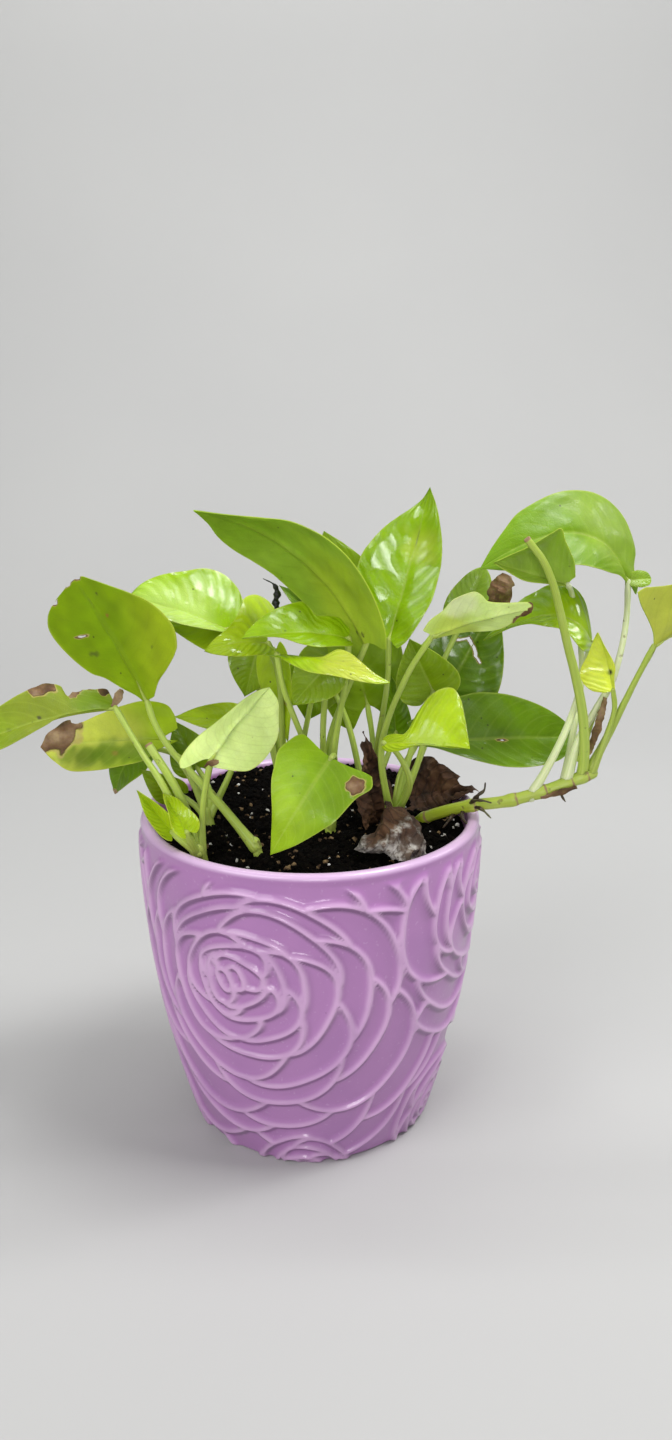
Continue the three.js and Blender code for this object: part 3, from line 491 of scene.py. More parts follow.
# Meshes.
def make_piece(name, points, faces, finishes, slots=None, sharp=None):
    """A mesh object from points in millimetres, shaded smooth but for edges sharper than `sharp` degrees."""
    mesh = bpy.data.meshes.new(name)
    mesh.from_pydata((np.asarray(points) * MM).tolist(), [], faces)
    for finish in finishes:
        mesh.materials.append(finish)
    if slots is not None:
        mesh.polygons.foreach_set("material_index", np.asarray(slots, np.int32))
    mesh.shade_smooth()
    if sharp:
        mesh.set_sharp_from_angle(angle=math.radians(sharp))
    mesh.update()
    obj = bpy.data.objects.new(name, mesh)
    bpy.context.scene.collection.objects.link(obj)
    return obj


def add_layer(obj, name, values):
    """Stores a number or a vector at each point, for the finishes to read."""
    kind, field = ("FLOAT", "value") if values.ndim == 1 else ("FLOAT_VECTOR", "vector")
    layer = obj.data.attributes.new(name, kind, "POINT")
    layer.data.foreach_set(field, values.astype(np.float32).ravel())


def dress(piece, node=None):
    """Hides the imported part that the piece replaces, if any, and hangs the piece on the root body."""
    if node:
        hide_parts(node)
    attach(piece, "root")


def net(rows, around, closed=True):
    """Quads between rows of points, each row `around` points long."""
    faces = []
    for j in range(rows - 1):
        for i in range(around if closed else around - 1):
            n = (i + 1) % around
            a, b = j * around, (j + 1) * around
            faces.append([a + i, a + n, b + n, b + i])
    return faces


def enclose(rings, end, start):
    """Points and faces of a closed surface through rings, with a pole past the last one and the first."""
    around = len(rings[0])
    last, pole = (len(rings) - 1) * around, len(rings) * around
    faces = net(len(rings), around)
    for i in range(around):
        n = (i + 1) % around
        faces += [[pole, last + i, last + n], [pole + 1, n, i]]
    return np.concatenate([*rings, [end, start]]), faces


def two_skins(faces, count):
    """Faces of a sheet's top, of its underside, whose points come `count` later, and of the edge between."""
    edges = {edge for face in faces for edge in zip(face, [*face[1:], face[0]])}
    rim = sorted(edge for edge in edges if edge[::-1] not in edges)
    under = [[corner + count for corner in reversed(face)] for face in faces]
    return faces + under + [[b, a, a + count, b + count] for a, b in rim]


UPPER, UNDER, STALK = 0, 1, 2  # finish slots of a leafy piece


class Growth:
    """Gathers the closed shells of one piece, with what its finishes read at each point."""

    def __init__(self):
        self.points, self.faces, self.slots, self.count = [], [], [], 0
        self.layers = {"tone": [], "blade": [], "dry": [], "shine": []}

    def add(self, points, faces, slots, tone, blade, dry, shine=0.3):
        self.points.append(points)
        self.faces += [[corner + self.count for corner in face] for face in faces]
        self.slots += slots
        self.count += len(points)
        for name, value in dict(tone=tone, blade=blade, dry=dry, shine=shine).items():
            shape = (len(points), 3) if name in ("tone", "blade") else len(points)
            self.layers[name].append(np.broadcast_to(value, shape))

    def piece(self, name, finishes):
        obj = make_piece(name, np.concatenate(self.points), self.faces, finishes, self.slots, sharp=50)
        for layer, parts in self.layers.items():
            add_layer(obj, layer, np.concatenate(parts))
        return obj


# The glazed pot. Each rose is a stack of rounded petals, inner ones on top, with a ridge round each:
# azimuth, height, size, turn, drift of each ring along and up, and how many rings.
ROSES = (
    (-25, 81, 1, 0.35, 1.5, -0.7, 10),
    (80, 103, 0.9, 1.3, -0.8, -1.2, 8),
    (166, 60, 1, 2.1, 1.2, 0.8, 10),
    (-112, 96, 0.9, 1.3, -0.8, -1.3, 8),
    (-4, -8, 0.75, 1.6, 0.5, 0, 5),
    (64, 10, 0.75, 1.2, 0, 0, 5),
    (-78, 4, 0.7, 1, 0, 0, 5),
    (-130, 14, 0.7, 0.4, 0, 0, 5),
    (112, 20, 0.7, 2.6, 0, 0, 5),
)
PETAL_RINGS = (4.5, 9, 14.5, 21, 29, 38, 48, 58, 68, 79)
PETALS_IN_RING = (2, 3, 4, 5, 5, 6, 7, 8, 9, 10)
PETAL_OVERLAP, RING_TWIST, PETAL_SQUARENESS, UNROLLED_RADIUS = 1.25, 0.75, 2.4, 58
# The rounded lip's radii and heights, from outside to inside.
LIP = (
    (63.2, 119.2), (63.45, 120.2), (63.2, 121.1), (62.5, 121.75), (61.5, 122), (60.5, 121.9), (59.6, 121.4),
    (59, 120.5), (58.8, 119),
)


def petals():
    """Where each petal lies on the unrolled side, which way it points and how deep and wide it is."""
    for k, (ring, count) in enumerate(zip(PETAL_RINGS, PETALS_IN_RING)):
        for azimuth, height, size, first_turn, drift_x, drift_z, rings in ROSES:
            for i in range(count if k < rings else 0):
                radius = ring * size * (1 + 0.05 * math.sin(5 * i + 3 * k + first_turn))
                turn = first_turn + k * RING_TWIST + i * 2 * math.pi / count
                cos, sin = math.cos(turn), math.sin(turn)
                x = math.radians(azimuth) * UNROLLED_RADIUS + drift_x * k + radius / 2 * cos
                z = height + drift_z * k + radius / 2 * sin
                wide = radius * math.sin(min(1.4, math.pi / count * PETAL_OVERLAP))
                yield x, z, cos, sin, radius / 2, wide


def ridge_distance(x, z):
    """Millimetres to the nearest ridge that shows: a petal hides the edges of those below it."""
    shape = x.shape
    nearest = np.full(x.size, 1e9)
    left = np.arange(x.size)
    x, z = x.ravel(), z.ravel()
    around = 2 * math.pi * UNROLLED_RADIUS
    n = PETAL_SQUARENESS
    for px, pz, cos, sin, deep, wide in petals():
        dx = x[left] - px
        dx -= around * np.round(dx / around)
        dz = z[left] - pz
        u = np.abs(dx * cos + dz * sin) / deep
        w = np.abs(dz * cos - dx * sin) / wide
        reach = (u**n + w**n) ** (1 / n) + 1e-9
        inside = (1 - reach) / np.hypot((u / reach) ** (n - 1) / deep, (w / reach) ** (n - 1) / wide)
        nearest[left] = np.minimum(nearest[left], np.abs(inside))
        left = left[inside <= 0]
    return nearest.reshape(shape)


def pot_radius(z):
    return RIM_RADIUS - (RIM_RADIUS - BASE_RADIUS) * np.clip(1 - np.asarray(z) / POT_HEIGHT, 0, 1) ** BELLY


def bore(z):
    """Radius of the pot's inside."""
    return float(pot_radius(z)) - WALL


def make_pot(finish):
    around, rows = 440, 205
    top = POT_HEIGHT - PLAIN_RIM
    x, z = np.meshgrid(circle(around) * UNROLLED_RADIUS, np.linspace(0, top, rows))
    # Points crowd towards the ridges, so that these come out crisp.
    step, distance = 0.05, ridge_distance(x, z)
    slope_x = (ridge_distance(x + step, z) - ridge_distance(x - step, z)) / (2 * step)
    slope_z = (ridge_distance(x, z + step) - ridge_distance(x, z - step)) / (2 * step)
    closer = distance * (1 - np.clip(distance / 2.4, 0, 1) ** 0.6) * smooth(np.minimum(z, top - z) / 1.5)
    x, z = x - slope_x * closer, z - slope_z * closer

    def level(dx, dz):
        away = ridge_distance(x + dx, z + dz)
        return bell(away / RIDGE_SPREAD) + ROUND_SHARE * np.exp(-away / ROUND_SPREAD)

    fade = smooth((top - z) / 4)
    beside = level(0.35, 0.2) + level(-0.35, -0.2) + level(-0.2, 0.35) + level(0.2, -0.35)
    relief = (level(0, 0) * 2 + beside) / 6 * fade
    # Painted shade: points just below a ridge, which the glaze darkens as if they lay in its shadow.
    ridge_shade = np.clip(level(0, 0.9) - level(0, -0.9), 0, 1) * fade
    radius = pot_radius(z) + RIDGE_HEIGHT * relief
    radius[:2] -= FOOT_DRAWN_IN
    inner = [(bore(h), h) for h in (100, 60, 14)] + [(bore(FLOOR) - 5, FLOOR)]
    angle = circle(around)
    unevenness = 0.12 * np.sin(3 * angle + 1) + 0.08 * np.sin(7 * angle)
    rings = list(zip(radius, x / UNROLLED_RADIUS, z))
    rings += [(r + unevenness * (h > 100), angle, np.full(around, h)) for r, h in (*LIP, *inner)]
    rings = [np.stack([r * np.sin(a), -r * np.cos(a), h], -1) for r, a, h in rings]
    points, faces = enclose(rings, (0, 0, FLOOR), (0, 0, 0))
    pot = make_piece("glazed_pot", points, faces, [finish], sharp=60)
    for name, layer in (("raised", relief), ("ridge_shade", ridge_shade)):
        add_layer(pot, name, np.concatenate([layer.ravel(), np.zeros(len(points) - layer.size)]))
    return pot


# Potting mix.
def soil_height(x, y):
    out = np.hypot(x, y) / (RIM_RADIUS - WALL)
    crumbs = 0.5 * np.sin(x * 0.41 + 1) * np.cos(y * 0.37) + 0.4 * np.sin(x * 0.93 - y * 0.71)
    return SOIL_TOP + SOIL_MOUND * (1 - out * out) + crumbs + SOIL_HEAP * smooth((y - 5) / 45)


def make_soil(finish):
    around, rings = 150, 58
    floor = FLOOR + 0.4
    edge = bore(SOIL_TOP) - 0.15
    round_about = np.stack([np.cos(circle(around)), np.sin(circle(around))], -1)
    rows = [
        np.column_stack([radius * round_about, np.full(around, height)])
        for radius, height in ((bore(FLOOR) - 6, floor), (bore(60) - 0.8, 60))
    ]
    for radius in np.linspace(edge, 1.2, rings):
        flat = radius * round_about
        height = soil_height(flat[:, 0], flat[:, 1]) - 0.5
        height = height + 0.9 * swell(flat, 9, 11) + 0.45 * swell(flat, 3.2, 12) + 0.25 * swell(flat, 1.6, 13)
        rows.append(np.column_stack([flat, height - 1.2 * smooth((radius - edge + 3) / 3)]))
    return make_piece("mix_bed", *enclose(rows, rows[-1].mean(0), (0, 0, floor)), [finish])


# Nodes, of finishes and of the strewn grains.
def feed(tree, socket, value):
    """Links a shade or a node's output to an input, or sets the input to a constant."""
    value = value.socket if isinstance(value, Shade) else value
    if isinstance(value, bpy.types.NodeSocket):
        tree.links.new(value, socket)
    else:
        socket.default_value = (*value, 1) if socket.type == "RGBA" else value


def add_node(tree, kind, settings, inputs):
    """A node with its settings made and its inputs fed."""
    made = tree.nodes.new(kind)
    for name, value in settings.items():
        setattr(made, name, value)
    for key, value in inputs.items():
        feed(tree, made.inputs[key], value)
    return made


def grain_tree():
    """Grains strewn on a surface: their density, sizes and seed are inputs, and only the top is strewn."""
    tree = bpy.data.node_groups.new("strewn_grains", "GeometryNodeTree")
    kinds = dict.fromkeys(("Density", "Smallest", "Largest", "Flatness", "Lowest", "Sinking"), "Float")
    for label, kind in dict(Geometry="Geometry", **kinds, Seed="Int", Finish="Material").items():
        tree.interface.new_socket(label, in_out="INPUT", socket_type="NodeSocket" + kind)
    tree.interface.new_socket("Geometry", in_out="OUTPUT", socket_type="NodeSocketGeometry")
    given = tree.nodes.new("NodeGroupInput").outputs

    def node(kind, inputs, output=0, **settings):
        return add_node(tree, kind, settings, inputs).outputs[output]

    def drawn(kind, inputs, output=0):
        return node("FunctionNodeRandomValue", {"Seed": given["Seed"], **inputs}, output, data_type=kind)

    place = node("GeometryNodeInputPosition", {})
    height = node("ShaderNodeSeparateXYZ", {"Vector": place}, "Z")
    high = node("FunctionNodeCompare", {"A": height, "B": given["Lowest"]}, operation="GREATER_THAN")
    spread = node("GeometryNodeDistributePointsOnFaces", {
        "Mesh": given["Geometry"], "Selection": high, "Density": given["Density"], "Seed": given["Seed"],
    })
    size = drawn("FLOAT", {2: given["Smallest"], 3: given["Largest"]}, 1)
    turn = drawn("FLOAT_VECTOR", {1: (6.3, 6.3, 6.3)})
    shape = drawn("FLOAT_VECTOR", {0: (0.6, 0.6, 0.5), 1: (1.2, 1.2, 1.0)})
    strewn = node("GeometryNodeInstanceOnPoints", {
        "Points": spread, "Instance": node("GeometryNodeMeshIcoSphere", {"Radius": 1.0, "Subdivisions": 1}),
        "Rotation": node("FunctionNodeEulerToRotation", {"Euler": turn}),
        "Scale": node("ShaderNodeVectorMath", {"Vector": shape, "Scale": size}, operation="SCALE"),
    })
    real = node("GeometryNodeRealizeInstances", {"Geometry": strewn})
    lumps = node("ShaderNodeTexNoise", {"Vector": place, "Scale": 900.0, "Detail": 1.0}, "Color")
    centred = node("ShaderNodeVectorMath", {0: lumps, 1: (0.5, 0.5, 0.5)}, operation="SUBTRACT")
    pushed = node("ShaderNodeVectorMath", {"Vector": centred, "Scale": given["Flatness"]}, operation="SCALE")
    ragged = node("GeometryNodeSetPosition", {"Geometry": real, "Offset": pushed})
    down = node("ShaderNodeCombineXYZ", {"Z": given["Sinking"]})
    sunk = node("GeometryNodeSetPosition", {"Geometry": ragged, "Offset": down})
    painted = node("GeometryNodeSetMaterial", {"Geometry": sunk, "Material": given["Finish"]})
    smoothed = node("GeometryNodeSetShadeSmooth", {"Geometry": painted})
    tree.links.new(smoothed, tree.nodes.new("NodeGroupOutput").inputs[0])
    return tree


def strew(name, ground, tree, **inputs):
    """A plain mesh of grains strewn on a copy of the ground."""
    bearer = bpy.data.objects.new(name, ground.data.copy())
    bpy.context.scene.collection.objects.link(bearer)
    modifier = bearer.modifiers.new("grains", "NODES")
    modifier.node_group = tree
    sockets = {item.name: item.identifier for item in tree.interface.items_tree if item.in_out == "INPUT"}
    for label, value in inputs.items():
        modifier[sockets[label]] = value
    bpy.context.view_layer.update()
    evaluated = bearer.evaluated_get(bpy.context.evaluated_depsgraph_get())
    mesh = bpy.data.meshes.new_from_object(evaluated)
    bearer.modifiers.remove(modifier)
    bearer.data = mesh
    return bearer


# Stalks, stems and roots.
def smooth_path(points, spacing):
    """Points about `spacing` apart on a centripetal curve through the given ones."""
    p = np.asarray(points, float)
    p = np.concatenate([[2 * p[0] - p[1]], p, [2 * p[-1] - p[-2]]])
    gaps = np.maximum(np.linalg.norm(np.diff(p, axis=0), axis=1), 1e-4) ** 0.5
    curve = []
    for i in range(1, len(p) - 2):
        g0, g1, g2 = gaps[i - 1 : i + 2]
        a, b = p[i], p[i + 1]
        start = ((a - p[i - 1]) / g0 - (b - p[i - 1]) / (g0 + g1) + (b - a) / g1) * g1
        end = ((b - a) / g1 - (p[i + 2] - a) / (g1 + g2) + (p[i + 2] - b) / g2) * g1
        t = np.linspace(0, 1, 24, endpoint=False)[:, None]
        square, cube = 3 * (b - a) - 2 * start - end, 2 * (a - b) + start + end
        curve.append(a + start * t + square * t**2 + cube * t**3)
    curve = np.concatenate([*curve, p[-2:-1]])
    run = np.concatenate([[0], np.cumsum(np.linalg.norm(np.diff(curve, axis=0), axis=1))])
    even = np.linspace(0, run[-1], max(4, int(run[-1] / spacing) + 1))
    return np.stack([np.interp(even, run, curve[:, k]) for k in range(3)], -1), even


def tube(path, radius_at, sides=12, spacing=1.6, cut=False, groove=0.0):
    """A closed tube, round or cut at its far end. radius_at is given (millimetres along, whole length)."""
    centres, along = smooth_path(path, spacing)
    length = along[-1]
    ahead = unit(np.gradient(centres, axis=0))
    radii = radius_at(along, length)
    side = unit(np.cross(ahead[0], (0.3, 0.2, 1) if abs(ahead[0][2]) < 0.9 else (1, 0.1, 0)))
    rings = []
    for centre, direction, radius, mark in zip(centres, ahead, radii, along):
        side = unit(side - direction * (side @ direction))
        rings.append((centre, direction, side, radius, mark))

    def beyond(ring, sign, profile):
        c, a, s, r, m = ring
        return [(c + sign * a * r * out, a, s, r * wide, m + sign * r * out) for out, wide in profile]

    dome, flat_end = ((0.5, 0.87), (0.87, 0.5)), ((0.06, 0.93), (0.0, 0.5))
    rings = beyond(rings[0], -1, dome)[::-1] + rings + beyond(rings[-1], 1, flat_end if cut else dome)
    angle = circle(sides)
    dent = 1 - groove * bell(np.minimum(angle, 2 * math.pi - angle) / 0.55)
    cos, sin = np.cos(angle)[:, None], np.sin(angle)[:, None]
    hoops = [c + r * dent[:, None] * (cos * s + sin * np.cross(a, s)) for c, a, s, r, _ in rings]
    (first, first_ahead, *_, start), (last, last_ahead, *_, end) = rings[0], rings[-1]
    pole = 0.13  # radii past the last hoop
    far = last + last_ahead * radii[-1] * (0 if cut else pole)
    points, faces = enclose(hoops, far, first - first_ahead * radii[0] * pole)
    blade = [np.column_stack([cos, sin, np.full(sides, ring[-1] / 10)]) for ring in rings]
    return points, faces, np.concatenate([*blade, [[0, 0, end / 10], [0, 0, start / 10]]]), length


# Leaf blades.
def rounded(outline, s):
    """A soft curve through an outline's pairs of per cent."""
    pairs = [[float(number) / 100 for number in pair.split(":")] for pair in outline.split()]
    line, _ = smooth_path([(*pair, 0) for pair in pairs], 0.004)
    return np.interp(s, line[:, 0], np.maximum(line[:, 1], 0))


def half_width(s, v, leaf):
    """Width of the half of a blade that v is on: as measured, or a round lobe and a drawn-out tip."""
    s, v = np.broadcast_arrays(np.clip(s, 0, 1), v)
    if "right" in leaf:
        right, left = rounded(leaf["right"], s), rounded(leaf["left"], s)
        share = np.where(v == 0, (right + left) / 2, np.where(v > 0, right, left))
    else:
        taper = leaf.get("taper", TAPER)
        rise = taper * (WIDEST + BLUNT) / (1 - WIDEST)
        share = ((s + BLUNT) / (WIDEST + BLUNT)) ** rise * ((1 - s) / (1 - WIDEST)) ** taper
    return leaf["width"] / 2 * share


class Midrib:
    """The line from base to tip: it bows towards the glossy face and sideways."""

    def __init__(self, leaf):
        base, tip, face = (np.array(leaf[key], float) for key in ("base", "tip", "face"))
        chord = tip - base
        side = unit(np.cross(chord, face))
        self.up = unit(np.cross(side, chord))
        self.length = float(np.linalg.norm(chord))
        bow = base + chord * (0.5 - leaf.get("early", 0))
        self.ends = base, bow + 2 * leaf.get("arch", 0) * self.up + 2 * leaf.get("sway", 0) * side, tip

    def point(self, s):
        a, b, c = self.ends
        return (1 - s) ** 2 * a + 2 * s * (1 - s) * b + s**2 * c

    def ahead(self, s):
        a, b, c = self.ends
        return unit(2 * (1 - s) * (b - a) + 2 * s * (c - b))


def vein_phase(s, v):
    """Counts side veins: they leave the midrib at whole numbers and sweep towards the tip."""
    return VEINS * (s - 0.13 * np.abs(v) - 0.15 * v * v) + 0.35


def surface(leaf, s, v, seed):
    """The blade's middle surface and its unit normal at s along and v across, with its fine swells."""
    rib = Midrib(leaf)
    s1, out, right = s[..., None], np.abs(v), v > 0
    ahead = rib.ahead(s1)
    side = unit(np.cross(ahead, rib.up))
    up = np.cross(side, ahead)
    fold, bend = math.radians(leaf.get("fold", FOLD)), math.radians(leaf.get("cup", 0) or 0.1)
    half = half_width(s, v, leaf)
    lean = fold + bend * out
    across = half * (np.sin(lean) - math.sin(fold)) / bend
    lift = half * (math.cos(fold) - np.cos(lean)) / bend
    lift = lift + leaf.get("wave", 0) * v * v * np.sin(9 * s + np.where(right, 1, 2.6))
    # Pillows between the veins, a channel along the midrib, a wavy margin and dents.
    pillow = np.sin(math.pi * vein_phase(s, v)) ** 2 * smooth(out / 0.25) * smooth((1 - out) / 0.35)
    lift = lift + leaf.get("quilt", QUILT) * pillow * smooth(half / 9)
    lift = lift - CHANNEL_DEPTH * bell(v * half / CHANNEL_WIDTH) * smooth((1 - s) / 0.3)
    random = np.random.default_rng(seed)
    turns, start = random.uniform(1.2, 2.2, 2), random.uniform(0, 6.3, 2)
    waving = np.where(right, np.sin(6.3 * turns[0] * s + start[0]), np.sin(6.3 * turns[1] * s + start[1]))
    lift = lift + leaf.get("frill", FRILL) * out**3 * waving * smooth(half / 10)
    flat = np.stack([v * half, s * rib.length], -1)
    lift = lift + DENTS * swell(flat, 15, seed + 7) * smooth((1 - out) / 0.15) * smooth(half / 8)
    lobes = np.broadcast_to(leaf.get("lobe", LOBE), 2)
    back = np.where(right, lobes[1], lobes[0]) * rib.length * (2 * v * v - v**4) * (1 - s) ** 3
    hand = np.sign(v)
    place = rib.point(s1) + side * (hand * across)[..., None] + up * lift[..., None] - ahead * back[..., None]
    tilt = (lean * hand)[..., None]
    return place, unit(up * np.cos(tilt) - side * np.sin(tilt)), half


def cut_distance(leaf, flat, length):
    """Millimetres from the nearest thing missing from the blade laid flat: negative within it."""
    clear = np.full(len(flat), 1e3)

    def place(s, v):
        return np.array([v * float(half_width(s, v, leaf)), s * length])

    for kind, *sizes in leaf.get("cuts", ()):
        if kind == "tip":
            inside = sizes[0] * length - flat[:, 1] + 0.5 * np.sin(flat[:, 0] * 1.1)
        elif kind == "bite":
            s, v, radius = sizes
            inside = np.linalg.norm(flat - place(s, v), axis=1) - radius
        elif kind == "hole":
            s, v, long, wide, turn = sizes
            x, y = (flat - place(s, v)).T
            cos, sin = math.cos(math.radians(turn)), math.sin(math.radians(turn))
            inside = (np.hypot((x * sin + y * cos) / long, (x * cos - y * sin) / wide) - 1) * wide
        else:
            line, wide = [place(*stop) for stop in sizes[0]], sizes[1]
            inside = np.full(len(flat), 1e3)
            for k, (a, b) in enumerate(zip(line, line[1:])):
                t = np.clip(((flat - a) @ (b - a)) / ((b - a) @ (b - a)), 0, 1)
                taper = wide * (0.5 + math.sin(math.pi * (k + 0.5) / (len(line) - 1)))
                inside = np.minimum(inside, np.linalg.norm(flat - a - t[:, None] * (b - a), axis=1) - taper)
        clear = np.minimum(clear, inside + 0.12 * swell(flat, 1.7, 5))
    return clear


def blade_net(rows, columns):
    """Triangles of a blade in rows across it, mirrored about the midrib, with one point for its tip."""
    faces = []
    for j in range(rows - 1):
        for i in range(columns):
            a = j * (columns + 1) + i
            b, c, d = a + 1, a + columns + 2, a + columns + 1
            faces += [(a, b, d), (b, c, d)] if i < columns / 2 else [(a, b, c), (a, c, d)]
    first, tip = (rows - 1) * (columns + 1), rows * (columns + 1)
    return np.array(faces + [(first + i, first + i + 1, tip) for i in range(columns)])


def blade_looks(leaf, place, flat, length, seed):
    """The tones of both sides and how dry the tissue is: patches, browned edges of cuts, a faint mottle."""
    dry = np.zeros(len(flat))
    tones = [np.tile(TONES[tone], (len(flat), 1)) for tone in leaf["tones"]]
    mottle = 1 + 0.10 * swell(place, 16, seed + 1) + 0.05 * swell(place, 5, seed + 2)
    for tone, s, v, reach, strength in leaf.get("patches", ()):
        centre = np.array([v * float(half_width(s, v, leaf)), s * length])
        uneven = 1 + 0.18 * swell(flat, max(2, reach * 0.8), seed + 3)
        weight = strength * smooth(1.5 * (1 - np.linalg.norm(flat - centre, axis=1) * uneven / reach))
        if tone == "dry":
            dry = np.maximum(dry, weight)
        else:
            tones = [old + (np.array(TONES[tone]) - old) * weight[:, None] for old in tones]
    dry = np.maximum(dry, DEAD_EDGE * smooth(1 - cut_distance(leaf, flat, length) / 0.9))
    return [tone * mottle[:, None] for tone in tones], np.maximum(dry, leaf.get("withered", 0))


def grow_blade(growth, leaf, seed):
    """Adds a blade: both its skins and the edge between them, with holes where tissue is missing."""
    small = leaf.get("small")
    rows, columns = (110, 52) if "cuts" in leaf else (44, 20) if small else (76, 32)
    length = Midrib(leaf).length
    x = np.linspace(-1, 1, columns + 1)
    s, v = np.meshgrid((np.arange(rows) / rows) ** 1.3, np.sign(x) * np.abs(x) ** 1.2, indexing="ij")
    s, v = np.append(s.ravel(), 1.0), np.append(v.ravel(), 0.0)
    faces = blade_net(rows, columns)
    flat = np.stack([v * half_width(s, v, leaf), s * length], -1)
    if "cuts" in leaf:
        # Points near a cut's edge move onto it, and the faces inside go.
        step = 0.05
        for _ in range(3):
            clear = cut_distance(leaf, flat, length)
            slope = np.stack([
                (cut_distance(leaf, flat + way, length) - cut_distance(leaf, flat - way, length)) / (2 * step)
                for way in np.eye(2) * step
            ], -1)
            near = (np.abs(clear) < 0.4) & (np.abs(v) < 0.999)
            shift = (clear / np.maximum((slope**2).sum(-1), 0.3))[:, None] * slope
            flat[near] -= shift[near]
        s = np.clip(flat[:, 1] / length, 0, 1)
        v = np.clip(flat[:, 0] / np.maximum(half_width(s, flat[:, 0], leaf), 1e-3), -1, 1)
        faces = faces[cut_distance(leaf, flat[faces].mean(1), length) > 0.02]
    place, normal, half = surface(leaf, s, v, seed)
    tones, dry = blade_looks(leaf, place, flat, length, seed)
    # Dry tissue shrivels, and rolls a little.
    crumple = 0.5 * swell(place, 5, seed + 4)
    if "crumpled" in leaf:
        creases = 1 - np.abs(swell(place, 13, seed + 5)) - 0.5 * np.abs(swell(place, 6, seed + 6))
        crumple = leaf["crumpled"] * (creases + 0.16 * swell(place, 3, seed + 8))
    place = place + normal * (dry * crumple)[:, None]
    # The margin is thinner, and the midrib stands out below.
    inward = smooth((1 - np.abs(v)) / 0.2)
    thick = LEAF_THICKNESS / 2 * (MARGIN_SHARE + (1 - MARGIN_SHARE) * inward)
    stout = 0 if small else RIB_RISE * bell(v * half / RIB_WIDTH) * smooth((1 - s) / 0.5)
    tops, unders = place + normal * thick[:, None], place - normal * (thick + stout)[:, None]
    corners = tops[faces]
    outward = np.cross(corners[:, 1] - corners[:, 0], corners[:, 2] - corners[:, 0])
    if (outward * normal[faces[:, 0]]).sum() < 0:
        faces = faces[:, ::-1]
    used, skin = np.unique(faces, return_inverse=True)
    skin = skin.reshape(-1, 3).tolist()
    shell = two_skins(skin, len(used))
    slots = [UPPER] * len(skin) + [UNDER] * (len(shell) - len(skin))
    blade = np.stack([v, s, vein_phase(s, v)], -1)
    points, tones, blade, dry = (
        np.concatenate([top[used], under[used]])
        for top, under in ((tops, unders), tones, (blade, blade), (dry, dry))
    )
    growth.add(points, shell, slots, tones, blade, dry, leaf.get("shine", SHINE))


def grow_tube(growth, tone, *args, tip_dry=0.0, foot_tone=None, rings=(), **kwargs):
    """Adds a tube in one tone, or running from the foot's tone to it, with a dry cut end and brown rings."""
    points, faces, blade, length = tube(*args, **kwargs)
    along = blade[:, 2:] * 10
    tones = np.array(TONES[tone])
    if foot_tone:
        tones = TONES[foot_tone] + (tones - TONES[foot_tone]) * smooth(along / length)
    dry = tip_dry * smooth((along[:, 0] - length + 1.2) / 1.0)
    for ring in rings:
        dry = np.maximum(dry, DEAD_EDGE * bell((along[:, 0] - ring - 1.6) / 1.1))
    growth.add(points, faces, [STALK] * len(faces), tones, blade, dry)


def grow_leaf(growth, leaf, seed):
    rib = Midrib(leaf)
    foot_radius, end = leaf.get("foot", STALK_FOOT), SLIM * leaf.get("thin", STALK_END)

    def stalk_radius(along, length):
        radius = foot_radius + (end - foot_radius) * (along / length) ** 0.6
        foot, joint = 1 + 0.15 * bell(along / 6), 1 + 0.16 * bell((length - along - 3.5) / 3)
        return radius * foot * joint * (1 + 0.03 * np.sin(along / 5 + seed))

    def rib_radius(along, length):
        return 0.16 + (end * 0.9 - 0.16) * np.exp(-along / 3.5)

    stalk = [*leaf["stalk"], leaf["base"]]
    grow_tube(growth, leaf.get("stalk_tone", "stalk"), stalk, stalk_radius, groove=0.14)
    # The midrib carries the stalk on along the underside.
    s = np.linspace(0, 0.62 if leaf.get("small") else 0.8, 20)[:, None]
    below = np.cross(unit(np.cross(rib.ahead(s), rib.up)), rib.ahead(s))
    line = rib.point(s) - below * (0.3 + 0.6 * end * np.exp(-s * rib.length / 4))
    line[0] = leaf["base"]
    grow_tube(growth, leaf["tones"][UNDER], line, rib_radius, sides=8, foot_tone="stalk")
    grow_blade(growth, leaf, seed)


def grow_scrap(growth, line, width, seed):
    """Adds a scrap of papery brown tissue along a line: a small crumpled sheet with two skins."""
    centres, along = smooth_path(line, 0.8)
    ahead = unit(np.gradient(centres, axis=0))
    side = unit(np.cross(ahead, (0.2, 1, 0.15)))
    up = np.cross(side, ahead)
    across = np.linspace(-1, 1, 9)
    share = along / along[-1]
    spread = width / 2 * (0.35 + 0.65 * np.sin(math.pi * np.clip(share * 0.9 + 0.05, 0, 1)))
    grid = centres[:, None] + side[:, None] * (spread[:, None] * across)[..., None]
    crumple = 0.22 * width * swell(grid, 3.5, seed) + 0.12 * width * across**2
    ragged = 0.1 * width * swell(grid, 2.2, seed + 1)
    grid = grid + up[:, None] * crumple[..., None] + side[:, None] * ragged[..., None]
    rows, columns = grid.shape[:2]
    middle = grid.reshape(-1, 3)
    lift = np.repeat(up, columns, axis=0) * 0.16
    shell = two_skins([face[::-1] for face in net(rows, columns, closed=False)], len(middle))
    points = np.concatenate([middle + lift, middle - lift])
    growth.add(points, shell, [UPPER] * len(shell), TONES["rust"], blade=0.5, dry=1)


def root_radius(along, length):
    return 1.15 * (1 - 0.8 * (along / length) ** 0.8) * (1 + 0.2 * np.sin(along * 1.7))


def wisp_radius(along, length):
    return (1.15 - 0.95 * smooth((along / length - 0.5) * 3)) * (1 + 0.3 * np.sin(along * 2.1))


